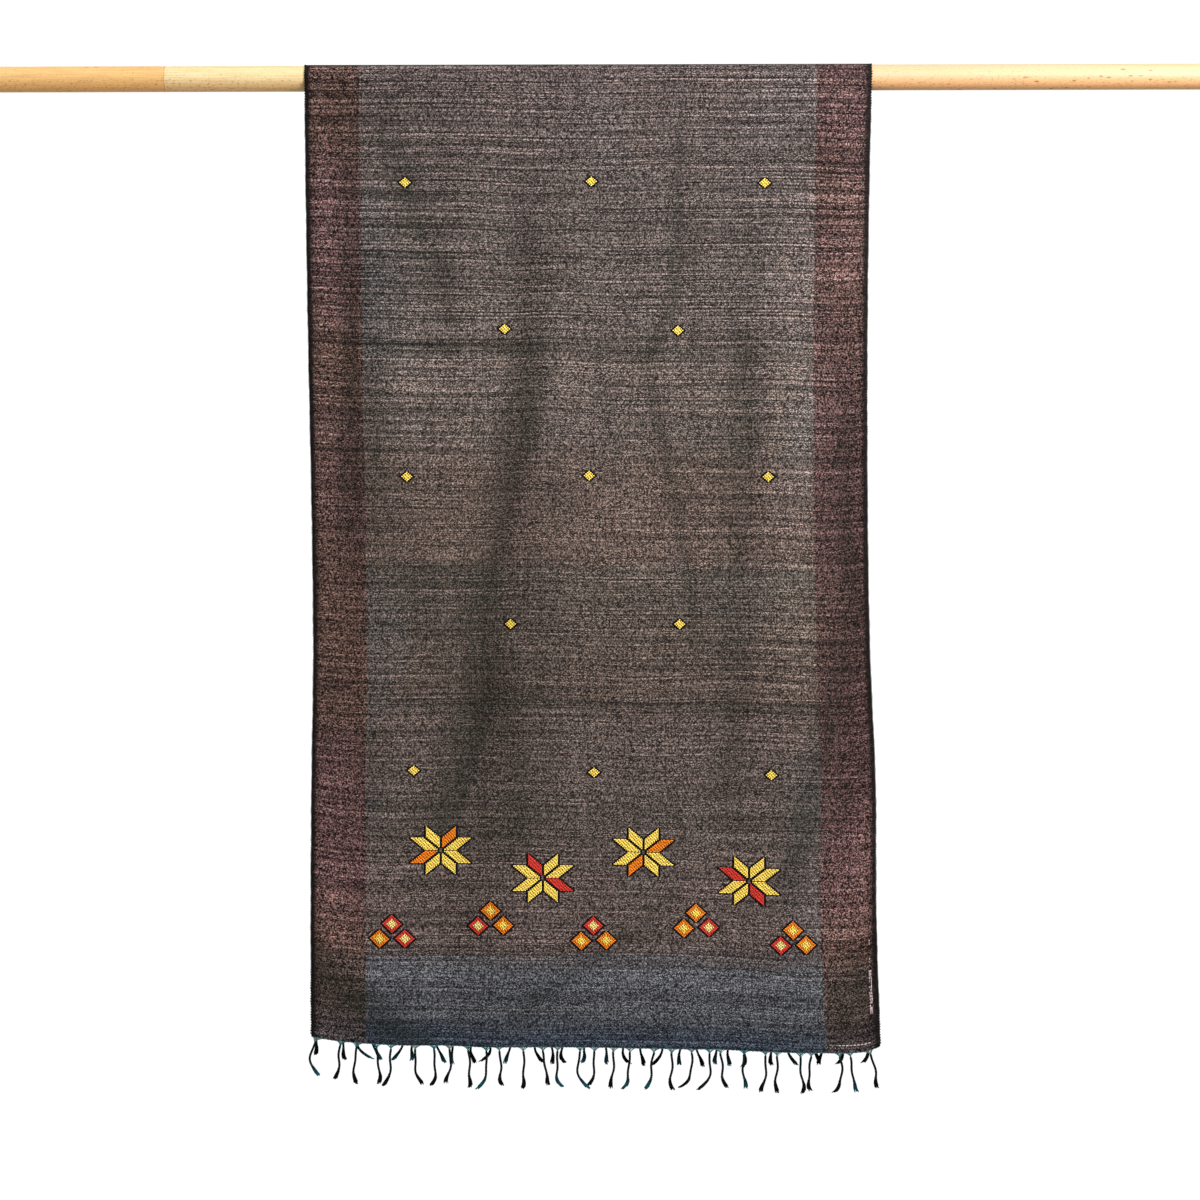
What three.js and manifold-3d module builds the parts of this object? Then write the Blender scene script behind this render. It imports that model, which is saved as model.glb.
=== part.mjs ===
// A handwoven silk scarf hung over a round wooden rod, in millimetres.
// +X runs along the rod, +Z is up, and the longer drop hangs on the -Y side.
// The origin is on the rod's axis, half way along it.
import * as THREE from "three";
import { mergeVertices } from "three/addons/utils/BufferGeometryUtils.js";
import Module from "manifold-3d";

// Driving sizes
const ROD_DIAMETER = 25;
const ROD_LENGTH = 1220;
const ROD_CHAMFER = 1;
const ROD_SIDES = 40;

const CLOTH_THICKNESS = 1.2;
const GAP = 0.3; // left between the cloth and the rod, and between the cloth and each fringe
const COLUMNS = 34; // steps across the cloth
const TURN_ROWS = 6; // steps in each quarter turn over the rod
const DROP_ROWS = 14; // steps down each drop

const FULL_DEPTH = 950; // depth at which a fold has moved by its whole drift
const FOLD_FADE = 110; // depth over which a fold starts or ends

const FRINGE_STRIP = 2.4; // height of the bound edge that a fringe's tassels grow from
const TASSEL_LENGTH = 36;
const TASSEL_LENGTH_SPREAD = 2; // most that a tassel is longer or shorter than that
const TASSEL_SWAY = 3; // most that a tassel bows to one side
const TASSEL_LEAN = 4; // most that a tassel's tip stands beside its root
const CORNER_LEAN = 6; // how far the outermost tassels lean away from the cloth
const TASSEL_SHIFT = 0.2; // most that a tassel's root is off its even place, in spacings

// The middle of the cloth's wall turns over the rod on this radius.
const TURN_RADIUS = ROD_DIAMETER / 2 + GAP + CLOTH_THICKNESS / 2;

// Each drop of the cloth, as it hangs.
// side     -1 hangs on the -Y side of the rod, 1 on the +Y side
// edges    x of the left and right selvedge at a depth below the rod's axis
// hem      depth of the hem at a share of the width, from the left selvedge
// folds    soft vertical waves: x at the rod, how far that moves by the hem, half width,
//          height (below 0 for a trough towards the other drop), and the depths between
//          which it shows
const FRONT = {
  side: -1,
  edges: [
    { depth: 0, left: -277, right: 273 },
    { depth: 120, left: -276, right: 270 },
    { depth: 260, left: -274, right: 268 },
    { depth: 430, left: -271, right: 268 },
    { depth: 560, left: -270, right: 270 },
    { depth: 690, left: -272, right: 275 },
    { depth: 820, left: -273, right: 275 },
    { depth: 950, left: -273, right: 279 },
  ],
  hem: [
    { across: 0, depth: 931 },
    { across: 0.06, depth: 936 },
    { across: 0.18, depth: 940 },
    { across: 0.5, depth: 942 },
    { across: 0.72, depth: 945 },
    { across: 0.9, depth: 948 },
    { across: 0.97, depth: 947 },
    { across: 1, depth: 941 },
  ],
  folds: [
    { at: -242, drift: 12, width: 20, height: -3, from: 60, to: 960 },
    { at: -202, drift: 4, width: 26, height: 3.5, from: 90, to: 900 },
    { at: -156, drift: -14, width: 26, height: -4, from: 10, to: 330 },
    { at: -54, drift: -92, width: 25, height: -7, from: 40, to: 1100 },
    { at: -12, drift: -76, width: 30, height: 4.5, from: 60, to: 1100 },
    { at: 62, drift: -8, width: 22, height: -4, from: 240, to: 640 },
    { at: 92, drift: 0, width: 13, height: -3.5, from: 60, to: 620 },
    { at: 146, drift: -26, width: 25, height: -5, from: 200, to: 1100 },
    { at: 194, drift: 2, width: 22, height: 4, from: 60, to: 1000 },
    { at: 243, drift: -4, width: 18, height: -4, from: 200, to: 860 },
    { at: 266, drift: 14, width: 10, height: 6, from: 720, to: 1200 },
  ],
};
const BACK = {
  side: 1,
  edges: [
    { depth: 0, left: -277, right: 273 },
    { depth: 150, left: -275, right: 271 },
    { depth: 350, left: -271, right: 269 },
    { depth: 550, left: -269, right: 268 },
    { depth: 750, left: -271, right: 270 },
    { depth: 930, left: -272, right: 272 },
  ],
  hem: [
    { across: 0, depth: 914 },
    { across: 0.08, depth: 919 },
    { across: 0.3, depth: 922 },
    { across: 0.8, depth: 924 },
    { across: 1, depth: 921 },
  ],
  folds: [
    { at: -236, drift: -8, width: 19, height: 4, from: 80, to: 1000 },
    { at: -188, drift: 10, width: 24, height: -4, from: 130, to: 1100 },
    { at: -120, drift: 16, width: 28, height: 4.5, from: 50, to: 800 },
    { at: -58, drift: 34, width: 22, height: -5, from: 60, to: 1100 },
    { at: 30, drift: 10, width: 30, height: 3.5, from: 260, to: 1100 },
    { at: 104, drift: 24, width: 24, height: -6, from: 40, to: 1100 },
    { at: 168, drift: -6, width: 20, height: 4, from: 90, to: 700 },
    { at: 226, drift: 8, width: 20, height: -3.5, from: 150, to: 1000 },
  ],
};

// The fringe on each hem: how many tassels, and what sets their unevenness.
const FRONT_FRINGE = { drop: FRONT, tassels: 31, seed: 1 };
const BACK_FRINGE = { drop: BACK, tassels: 30, seed: 2 };

// A tassel from its root to its tip: a web of gathered warp, a twisted cord, a knot, a tuft.
// at is a share of its length; wide runs along the hem and thick through the cloth.
const TASSEL_SECTIONS = [
  { at: 0, wide: 14, thick: 1 },
  { at: 0.1, wide: 4.6, thick: 1.2 },
  { at: 0.2, wide: 1.8, thick: 1.6 },
  { at: 0.58, wide: 1.6, thick: 1.6 },
  { at: 0.67, wide: 3, thick: 2.6 },
  { at: 0.74, wide: 2, thick: 2 },
  { at: 1, wide: 4.2, thick: 3 },
];

const ROD_WOOD = { color: 0xf1dcae, roughness: 0.55, metalness: 0 };
const SILK = { color: 0x5c524e, roughness: 0.7, metalness: 0 };
const FRINGE_SILK = { color: 0x23272f, roughness: 0.75, metalness: 0 };

// 0 below the first edge, 1 above the second, and a smooth rise between them.
function rise(first, second, value) {
  const t = Math.min(1, Math.max(0, (value - first) / (second - first)));
  return t * t * (3 - 2 * t);
}

// An uneven number from -1 to 1 that is always the same for the same index and seed.
function uneven(index, seed) {
  const wave = Math.sin(index * 12.9898 + seed * 78.233) * 43758.5453;
  return 2 * (wave - Math.floor(wave)) - 1;
}

// A column of a table at a value of its key column, on a smooth curve through the rows.
function lookUp(table, key, column, value) {
  const last = table.length - 1;
  let row = table.findIndex((entry) => entry[key] >= value);
  row = Math.min(last, Math.max(1, row < 0 ? last : row));
  const [a, b] = [table[row - 1], table[row]];
  const [before, after] = [table[Math.max(0, row - 2)], table[Math.min(last, row + 1)]];
  const span = b[key] - a[key];
  const t = (value - a[key]) / span;
  const slopeA = ((b[column] - before[column]) / (b[key] - before[key])) * span;
  const slopeB = ((after[column] - a[column]) / (after[key] - a[key])) * span;
  return (
    (2 * t ** 3 - 3 * t ** 2 + 1) * a[column] +
    (t ** 3 - 2 * t ** 2 + t) * slopeA +
    (3 * t ** 2 - 2 * t ** 3) * b[column] +
    (t ** 3 - t ** 2) * slopeB
  );
}

// How far the cloth stands out of its plane at x and a depth below the rod's axis.
function foldHeight(drop, x, depth) {
  const share = depth / FULL_DEPTH;
  return drop.folds.reduce((sum, fold) => {
    const off = (x - fold.at - fold.drift * share) / fold.width;
    const starts = rise(fold.from, fold.from + FOLD_FADE, depth);
    const ends = rise(fold.to - FOLD_FADE, fold.to, depth);
    return sum + fold.height * starts * (1 - ends) * Math.exp(-off * off);
  }, 0);
}

// The middle of the hanging cloth's wall: across runs from 0 to 1 between the selvedges.
function dropPoint(drop, across, depth) {
  const left = lookUp(drop.edges, "depth", "left", depth);
  const right = lookUp(drop.edges, "depth", "right", depth);
  const x = left + (right - left) * across;
  const y = drop.side * (TURN_RADIUS + foldHeight(drop, x, depth));
  return new THREE.Vector3(x, y, -depth);
}

// The middle of the cloth's wall where it turns over the rod: angle is 0 at the crown.
function turnPoint(drop, across, angle) {
  const { left, right } = drop.edges[0];
  const x = left + (right - left) * across;
  return new THREE.Vector3(x, drop.side * TURN_RADIUS * Math.sin(angle), TURN_RADIUS * Math.cos(angle));
}

function hemDepth(drop, across) {
  return lookUp(drop.hem, "across", "depth", across);
}

// The lowest that the hem reaches within a distance to each side of a share of the width.
function lowestHem(drop, across, distance) {
  const { left, right } = drop.edges[0];
  const share = distance / (right - left);
  const places = [across - share, across, across + share];
  return Math.max(...places.map((place) => hemDepth(drop, Math.min(1, Math.max(0, place)))));
}

// Rows of points down one drop, from the rod's side to the hem.
function dropRows(drop) {
  return Array.from({ length: DROP_ROWS + 1 }, (_, row) =>
    Array.from({ length: COLUMNS + 1 }, (_, column) => {
      const across = column / COLUMNS;
      return dropPoint(drop, across, (hemDepth(drop, across) * row) / DROP_ROWS);
    }),
  );
}

// Rows of points from the crown of the turn to just above a drop.
function turnRows(drop) {
  return Array.from({ length: TURN_ROWS }, (_, row) =>
    Array.from({ length: COLUMNS + 1 }, (_, column) =>
      turnPoint(drop, column / COLUMNS, (row / TURN_ROWS) * (Math.PI / 2)),
    ),
  );
}

// The normal of a grid of points at one of them, from its neighbours along and across.
function gridNormal(rows, row, column) {
  const previous = rows[Math.max(0, row - 1)][column];
  const next = rows[Math.min(rows.length - 1, row + 1)][column];
  const left = rows[row][Math.max(0, column - 1)];
  const right = rows[row][Math.min(rows[row].length - 1, column + 1)];
  const down = next.clone().sub(previous);
  return right.clone().sub(left).cross(down).normalize();
}

// A closed wall of even thickness on each side of a grid of points.
function wallGeometry(rows, thickness) {
  const across = rows[0].length;
  const layer = rows.length * across;
  const positions = [];
  for (const side of [0.5, -0.5]) {
    rows.forEach((points, row) =>
      points.forEach((point, column) => {
        const offset = gridNormal(rows, row, column).multiplyScalar(side * thickness);
        positions.push(...point.clone().add(offset));
      }),
    );
  }
  const index = [];
  const quad = (a, b, c, d) => index.push(a, b, c, a, c, d);
  for (let row = 0; row < rows.length - 1; row++) {
    for (let column = 0; column < across - 1; column++) {
      const a = row * across + column;
      quad(a, a + 1, a + across + 1, a + across);
      quad(layer + a, layer + a + across, layer + a + across + 1, layer + a + 1);
    }
    const left = row * across;
    const right = left + across - 1;
    quad(left, left + across, layer + left + across, layer + left);
    quad(right + across, right, layer + right, layer + right + across);
  }
  for (let column = 0; column < across - 1; column++) {
    const end = layer - across + column;
    quad(column + 1, column, layer + column, layer + column + 1);
    quad(end, end + 1, layer + end + 1, layer + end);
  }
  const geometry = new THREE.BufferGeometry();
  geometry.setAttribute("position", new THREE.Float32BufferAttribute(positions, 3));
  geometry.setIndex(index);
  return geometry;
}

// The whole woven length: the front drop from its hem up, over the rod, and down the back.
function clothGeometry() {
  const front = [...turnRows(FRONT), ...dropRows(FRONT)].reverse();
  const back = [...turnRows(BACK), ...dropRows(BACK)].slice(1);
  return wallGeometry([...front, ...back], CLOTH_THICKNESS);
}

// One tassel: a four-sided tube through its sections, hanging from a point on the hem.
function tasselGeometry(root, length, sway, lean) {
  const positions = [];
  for (const { at, wide, thick } of TASSEL_SECTIONS) {
    const x = root.x + lean * at + sway * Math.sin(Math.PI * at);
    const z = root.z - length * at;
    for (const [right, back] of [[-1, -1], [1, -1], [1, 1], [-1, 1]]) {
      positions.push(x + (right * wide) / 2, root.y + (back * thick) / 2, z);
    }
  }
  const last = 4 * (TASSEL_SECTIONS.length - 1);
  const index = [0, 2, 1, 0, 3, 2, last, last + 1, last + 2, last, last + 2, last + 3].reverse();
  for (let ring = 0; ring < last; ring += 4) {
    for (let corner = 0; corner < 4; corner++) {
      const a = ring + corner;
      const b = ring + ((corner + 1) % 4);
      index.push(a, a + 4, b, b, a + 4, b + 4);
    }
  }
  const geometry = new THREE.BufferGeometry();
  geometry.setAttribute("position", new THREE.Float32BufferAttribute(positions, 3));
  geometry.setIndex(index);
  return geometry;
}

// A closed geometry as a solid that can be joined to others.
function solidOf(wasm, geometry) {
  const merged = mergeVertices(geometry);
  const vertProperties = merged.getAttribute("position").array;
  const triVerts = new Uint32Array(merged.index.array);
  return new wasm.Manifold(new wasm.Mesh({ numProp: 3, vertProperties, triVerts }));
}

function geometryOf(solid) {
  const { vertProperties, triVerts } = solid.getMesh();
  const geometry = new THREE.BufferGeometry();
  geometry.setAttribute("position", new THREE.BufferAttribute(vertProperties, 3));
  geometry.setIndex(new THREE.BufferAttribute(triVerts, 1));
  return geometry;
}

// The bound edge below a hem, 0.3 mm clear of it, with its tassels fused to it.
function fringeGeometry(wasm, { drop, tassels, seed }) {
  const strip = [GAP, GAP + FRINGE_STRIP].map((below) =>
    Array.from({ length: COLUMNS + 1 }, (_, column) => {
      const across = column / COLUMNS;
      const hem = hemDepth(drop, across);
      return dropPoint(drop, across, hem).setZ(-hem - below);
    }),
  );
  if (drop.side < 0) {
    strip.reverse();
  }
  let fringe = solidOf(wasm, wallGeometry(strip, CLOTH_THICKNESS));
  for (let tassel = 0; tassel < tassels; tassel++) {
    const place = (tassel + 0.5 + TASSEL_SHIFT * uneven(tassel, seed)) / tassels;
    const hem = lowestHem(drop, place, TASSEL_SECTIONS[0].wide / 2);
    const root = dropPoint(drop, place, hem).setZ(-hem - GAP - FRINGE_STRIP / 2);
    const corner = (tassel === tassels - 1) - (tassel === 0);
    const lean = TASSEL_LEAN * uneven(tassel, seed + 2) + CORNER_LEAN * corner;
    const sway = TASSEL_SWAY * uneven(tassel, seed + 4);
    const length = TASSEL_LENGTH + TASSEL_LENGTH_SPREAD * uneven(tassel, seed + 6);
    fringe = fringe.add(solidOf(wasm, tasselGeometry(root, length, sway, lean)));
  }
  return geometryOf(fringe);
}

// A round rod with slightly broken edges, turned about the Z axis and laid along X.
function rodGeometry() {
  const radius = ROD_DIAMETER / 2;
  const half = ROD_LENGTH / 2;
  const profile = [
    new THREE.Vector2(0, -half),
    new THREE.Vector2(radius - ROD_CHAMFER, -half),
    new THREE.Vector2(radius, -half + ROD_CHAMFER),
    new THREE.Vector2(radius, half - ROD_CHAMFER),
    new THREE.Vector2(radius - ROD_CHAMFER, half),
    new THREE.Vector2(0, half),
  ];
  const geometry = new THREE.LatheGeometry(profile, ROD_SIDES).rotateZ(-Math.PI / 2);
  geometry.deleteAttribute("normal");
  geometry.deleteAttribute("uv");
  return geometry;
}

function namedMesh(name, geometry, finish) {
  const mesh = new THREE.Mesh(geometry, new THREE.MeshStandardMaterial(finish));
  mesh.name = name;
  return mesh;
}

const wasm = await Module();
wasm.setup();

const scarf = new THREE.Group();
scarf.add(
  namedMesh("rod", rodGeometry(), ROD_WOOD),
  namedMesh("cloth", clothGeometry(), SILK),
  namedMesh("front_fringe", fringeGeometry(wasm, FRONT_FRINGE), FRINGE_SILK),
  namedMesh("back_fringe", fringeGeometry(wasm, BACK_FRINGE), FRINGE_SILK),
);

export default scarf;
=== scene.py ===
"""A handwoven silk scarf hung over a round pine rod.

Lengths are in metres in the part's own frame: +X runs along the rod, +Z is up, the longer
drop hangs on the -Y side, and the origin is on the rod's axis, half way along it.
"""

import logging
import math
from dataclasses import dataclass
from enum import Enum
from typing import Any, Iterable, Sequence

import bpy
import numpy as np
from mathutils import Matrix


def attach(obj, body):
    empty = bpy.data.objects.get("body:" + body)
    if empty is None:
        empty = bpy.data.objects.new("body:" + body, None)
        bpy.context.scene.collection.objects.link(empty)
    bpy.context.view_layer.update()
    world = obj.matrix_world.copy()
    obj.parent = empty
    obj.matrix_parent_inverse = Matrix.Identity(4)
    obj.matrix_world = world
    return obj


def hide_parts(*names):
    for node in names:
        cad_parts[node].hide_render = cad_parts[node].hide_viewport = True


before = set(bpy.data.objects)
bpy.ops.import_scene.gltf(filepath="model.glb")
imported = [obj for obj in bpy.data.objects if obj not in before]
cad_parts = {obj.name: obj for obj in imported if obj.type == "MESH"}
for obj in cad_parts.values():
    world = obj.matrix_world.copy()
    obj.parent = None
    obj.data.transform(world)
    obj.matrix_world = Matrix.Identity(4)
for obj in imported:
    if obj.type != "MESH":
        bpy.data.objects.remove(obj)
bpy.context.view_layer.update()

LOG = logging.getLogger("scarf")
MM = 0.001
BODY = "root"
Array = np.ndarray
Colour = tuple[float, float, float]
Piece = bpy.types.Object
Table = tuple[tuple[float, float], ...]  # rows of a key and its value
Faces = list[list[int]]  # the point numbers of each face
Shape = tuple[Array, Faces]  # points and faces of a mesh that isn't in the scene yet
Stretch = tuple[float, float, float]  # start, end and depth of one thread, in millimetres


# ---------------- small helpers


def srgb(red: int, green: int, blue: int) -> Colour:
    """The linear colour of a display colour given from 0 to 255.

    Args:
        red, green, blue: the display values.

    Returns:
        Three linear values from 0 to 1.
    """
    shares = (value / 255 for value in (red, green, blue))
    return tuple(s / 12.92 if s <= 0.04045 else ((s + 0.055) / 1.055) ** 2.4 for s in shares)


def rise(first: float, second: float, value: Array | float) -> Array | float:
    """0 below the first edge, 1 above the second, and t²(3 - 2t) between them."""
    t = np.clip((value - first) / (second - first), 0, 1)
    return t * t * (3 - 2 * t)


def uneven(index: Array | int, seed: float) -> Array | float:
    """An uneven number from -1 to 1, always the same for one index and seed.

    It is twice the fractional part of sin(12.9898 index + 78.233 seed) 43758.5453, less 1.
    """
    wave = np.sin(np.asarray(index) * 12.9898 + seed * 78.233) * 43758.5453
    return 2 * (wave - np.floor(wave)) - 1


def look_up(table: Table, value: Array) -> Array:
    """Reads a two-column table on a smooth curve (cubic Hermite) through its rows.

    Args:
        table: rows of key and value, in order of the key.
        value: the keys to read at.

    Returns:
        The curve's height at each key.
    """
    keys, heights = np.array(table, float).T
    last = len(keys) - 1
    row = np.clip(np.searchsorted(keys, value), 1, last)
    low, high = row - 1, row
    before, after = np.maximum(0, row - 2), np.minimum(last, row + 1)
    span = keys[high] - keys[low]
    t = (value - keys[low]) / span
    slope_low = (heights[high] - heights[before]) / (keys[high] - keys[before]) * span
    slope_high = (heights[after] - heights[low]) / (keys[after] - keys[low]) * span
    return (
        (2 * t**3 - 3 * t**2 + 1) * heights[low]
        + (t**3 - 2 * t**2 + t) * slope_low
        + (3 * t**2 - 2 * t**3) * heights[high]
        + (t**3 - t**2) * slope_high
    )


def unit(vectors: Array) -> Array:
    """Each vector along the last axis, scaled to length 1."""
    return vectors / np.maximum(np.linalg.norm(vectors, axis=-1, keepdims=True), 1e-12)


def round_about(angle: Array) -> Array:
    """A circle's points (cos(a), sin(a), 0), with the three values on the last axis."""
    return np.stack([np.cos(angle), np.sin(angle), 0 * angle], axis=-1)


def grid_faces(rows: int, columns: int, around: bool = False) -> Array:
    """The quads of a grid of points stored row by row.

    Args:
        rows: rows of points.
        columns: points in a row.
        around: whether each row closes on itself.

    Returns:
        One row of four point numbers for each quad.
    """
    low = np.arange(rows - 1)[:, None] * columns
    left = np.arange(columns if around else columns - 1)
    right = (left + 1) % columns
    corners = (low + left, low + right, low + columns + right, low + columns + left)
    return np.stack([corner.ravel() for corner in corners], axis=1)


def new_mesh(name: str, points: Array, faces: Iterable[Sequence[int]]) -> Piece:
    """A smoothly shaded mesh object at the origin, linked to the scene.

    Args:
        name: the piece's name.
        points: its points, one row each.
        faces: the point numbers of each face.

    Returns:
        The new object.
    """
    mesh = bpy.data.meshes.new(name)
    mesh.from_pydata(np.reshape(points, (-1, 3)).tolist(), [], [list(map(int, f)) for f in faces])
    mesh.polygons.foreach_set("use_smooth", np.ones(len(mesh.polygons), bool))
    mesh.update()
    piece = bpy.data.objects.new(name, mesh)
    bpy.context.scene.collection.objects.link(piece)
    return piece


def add_values(piece: Piece, name: str, values: Array) -> None:
    """Stores one number for each point of a piece, for its material to read."""
    layer = piece.data.attributes.new(name, "FLOAT", "POINT")
    layer.data.foreach_set("value", np.ascontiguousarray(values, np.float32).ravel())


def add_places(piece: Piece, name: str, places: Array) -> None:
    """Stores two flat coordinates for each point of a piece as a UV map."""
    corners = np.empty(len(piece.data.loops), np.int32)
    piece.data.loops.foreach_get("vertex_index", corners)
    layer = piece.data.uv_layers.new(name=name)
    layer.data.foreach_set("uv", places.reshape(-1, 2)[corners].astype(np.float32).ravel())


def turned(name: str, axis: Array, radius: Array, sides: int, upright: bool = False) -> Piece:
    """A profile carried round the X axis, with a flat face at each end.

    A point is (x, r cos(a), r sin(a)). An upright piece has its parts moved round, to
    (r cos(a), r sin(a), z). Faces point outwards where the axis rises from ring to ring.

    Args:
        name: the piece's name.
        axis: x, or z, of each ring.
        radius: its radius r.
        sides: points in a ring.
        upright: whether it is carried round the Z axis.

    Returns:
        The new piece.
    """
    angle = np.arange(sides) * math.tau / sides
    reach = radius[:, None]
    points = np.stack([axis[:, None] + 0 * angle, reach * np.cos(angle), reach * np.sin(angle)], axis=-1)
    ring, rows = np.arange(sides), len(axis)
    caps = [ring[::-1].tolist(), (ring + (rows - 1) * sides).tolist()]
    faces = grid_faces(rows, sides, around=True).tolist() + caps
    piece = new_mesh(name, np.roll(points, -1, axis=-1) if upright else points, faces)
    smooth = np.ones(len(faces), bool)
    smooth[-2:] = False
    piece.data.polygons.foreach_set("use_smooth", smooth)
    return piece


def strands(paths: Array, radii: Array | float, sides: int, phase: float = 0.0) -> Shape:
    """Round strands carried along many paths at once.

    A point is path + radius (cos a · n + sin a · b), where n = unit(tangent × Y), with Y
    tipped a little so that no path lies along it, and b = tangent × n. Each end is closed
    by one face.

    Args:
        paths: strands × stations × 3 points.
        radii: one radius, or one for each strand or station.
        sides: corners of a section.
        phase: turn of the first corner, in radians.

    Returns:
        The points and the faces.
    """
    count, stations = paths.shape[:2]
    tangent = unit(np.gradient(paths, axis=1))
    normal = unit(np.cross(tangent, np.broadcast_to((0.0, 1.0, 0.02), tangent.shape)))
    binormal = np.cross(tangent, normal)
    angle = phase + np.arange(sides) * math.tau / sides
    ring = normal[:, :, None] * np.cos(angle)[:, None] + binormal[:, :, None] * np.sin(angle)[:, None]
    points = paths[:, :, None] + ring * np.broadcast_to(radii, (count, stations))[:, :, None, None]
    size = stations * sides
    starts = np.arange(count)[:, None, None] * size
    quads = (grid_faces(stations, sides, around=True)[None] + starts).reshape(-1, 4)
    first = (np.arange(sides)[::-1] + starts[:, 0]).tolist()
    last = (np.arange(sides) + size - sides + starts[:, 0]).tolist()
    return points.reshape(-1, 3), quads.tolist() + first + last


class Bundle:
    """Points, faces and values of many small meshes that end up in one piece."""

    def __init__(self) -> None:
        """Starts with nothing in it."""
        self.points: list[Array] = []
        self.faces: Faces = []
        self.values: list[Array] = []
        self.materials: list[int] = []
        self.count = 0

    def add(self, made: Shape, value: Array | float = 0.0, material: int = 0) -> None:
        """Adds one small mesh.

        Args:
            made: its points and faces.
            value: the number that its points carry, or one for each point.
            material: the slot that its faces use.
        """
        points, faces = made
        self.points.append(points)
        self.faces.extend([index + self.count for index in face] for face in faces)
        self.values.append(np.broadcast_to(value, len(points)))
        self.materials.extend([material] * len(faces))
        self.count += len(points)

    def piece(self, name: str, *materials: bpy.types.Material) -> Piece:
        """The one piece, dressed in its materials, with its values stored as "shade"."""
        made = new_mesh(name, np.concatenate(self.points), self.faces)
        add_values(made, "shade", np.concatenate(self.values))
        made.data.polygons.foreach_set("material_index", np.array(self.materials, np.int32))
        for material in materials:
            made.data.materials.append(material)
        return made


# ---------------- shader helpers


class Wire:
    """A shader socket whose arithmetic adds Math nodes."""

    def __init__(self, nodes: "Nodes", socket: bpy.types.NodeSocket) -> None:
        """Wraps a socket of a node tree."""
        self.nodes, self.socket = nodes, socket

    def __add__(self, other: "Value") -> "Wire":
        """This value plus another."""
        return self.nodes.maths("ADD", self, other)

    def __sub__(self, other: "Value") -> "Wire":
        """This value less another."""
        return self.nodes.maths("SUBTRACT", self, other)

    def __rsub__(self, other: float) -> "Wire":
        """A number less this value."""
        return self.nodes.maths("SUBTRACT", other, self)

    def __mul__(self, other: "Value") -> "Wire":
        """This value times another."""
        return self.nodes.maths("MULTIPLY", self, other)

    __radd__ = __add__
    __rmul__ = __mul__

    def size(self) -> "Wire":
        """This value without its sign."""
        return self.nodes.maths("ABSOLUTE", self)

    def between(self, low: float, high: float, at_low: float = 0.0, at_high: float = 1.0) -> "Wire":
        """A smooth step from one result to another as this value goes from low to high.

        Args:
            low, high: the two ends of the step.
            at_low, at_high: the results at those ends.

        Returns:
            The stepped value.
        """
        ends = {"From Min": low, "From Max": high, "To Min": at_low, "To Max": at_high}
        settings = {"interpolation_type": "SMOOTHSTEP"}
        return self.nodes.node("ShaderNodeMapRange", settings, {"Value": self, **ends})["Result"]


Value = Wire | float


class Made:
    """A node that has been made, whose outputs are read by name as wires."""

    def __init__(self, nodes: "Nodes", node: bpy.types.Node) -> None:
        """Keeps the node and its tree."""
        self.nodes, self.node = nodes, node

    def __getitem__(self, name: str | int) -> Wire:
        """The output of that name or number."""
        return Wire(self.nodes, self.node.outputs[name])


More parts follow.
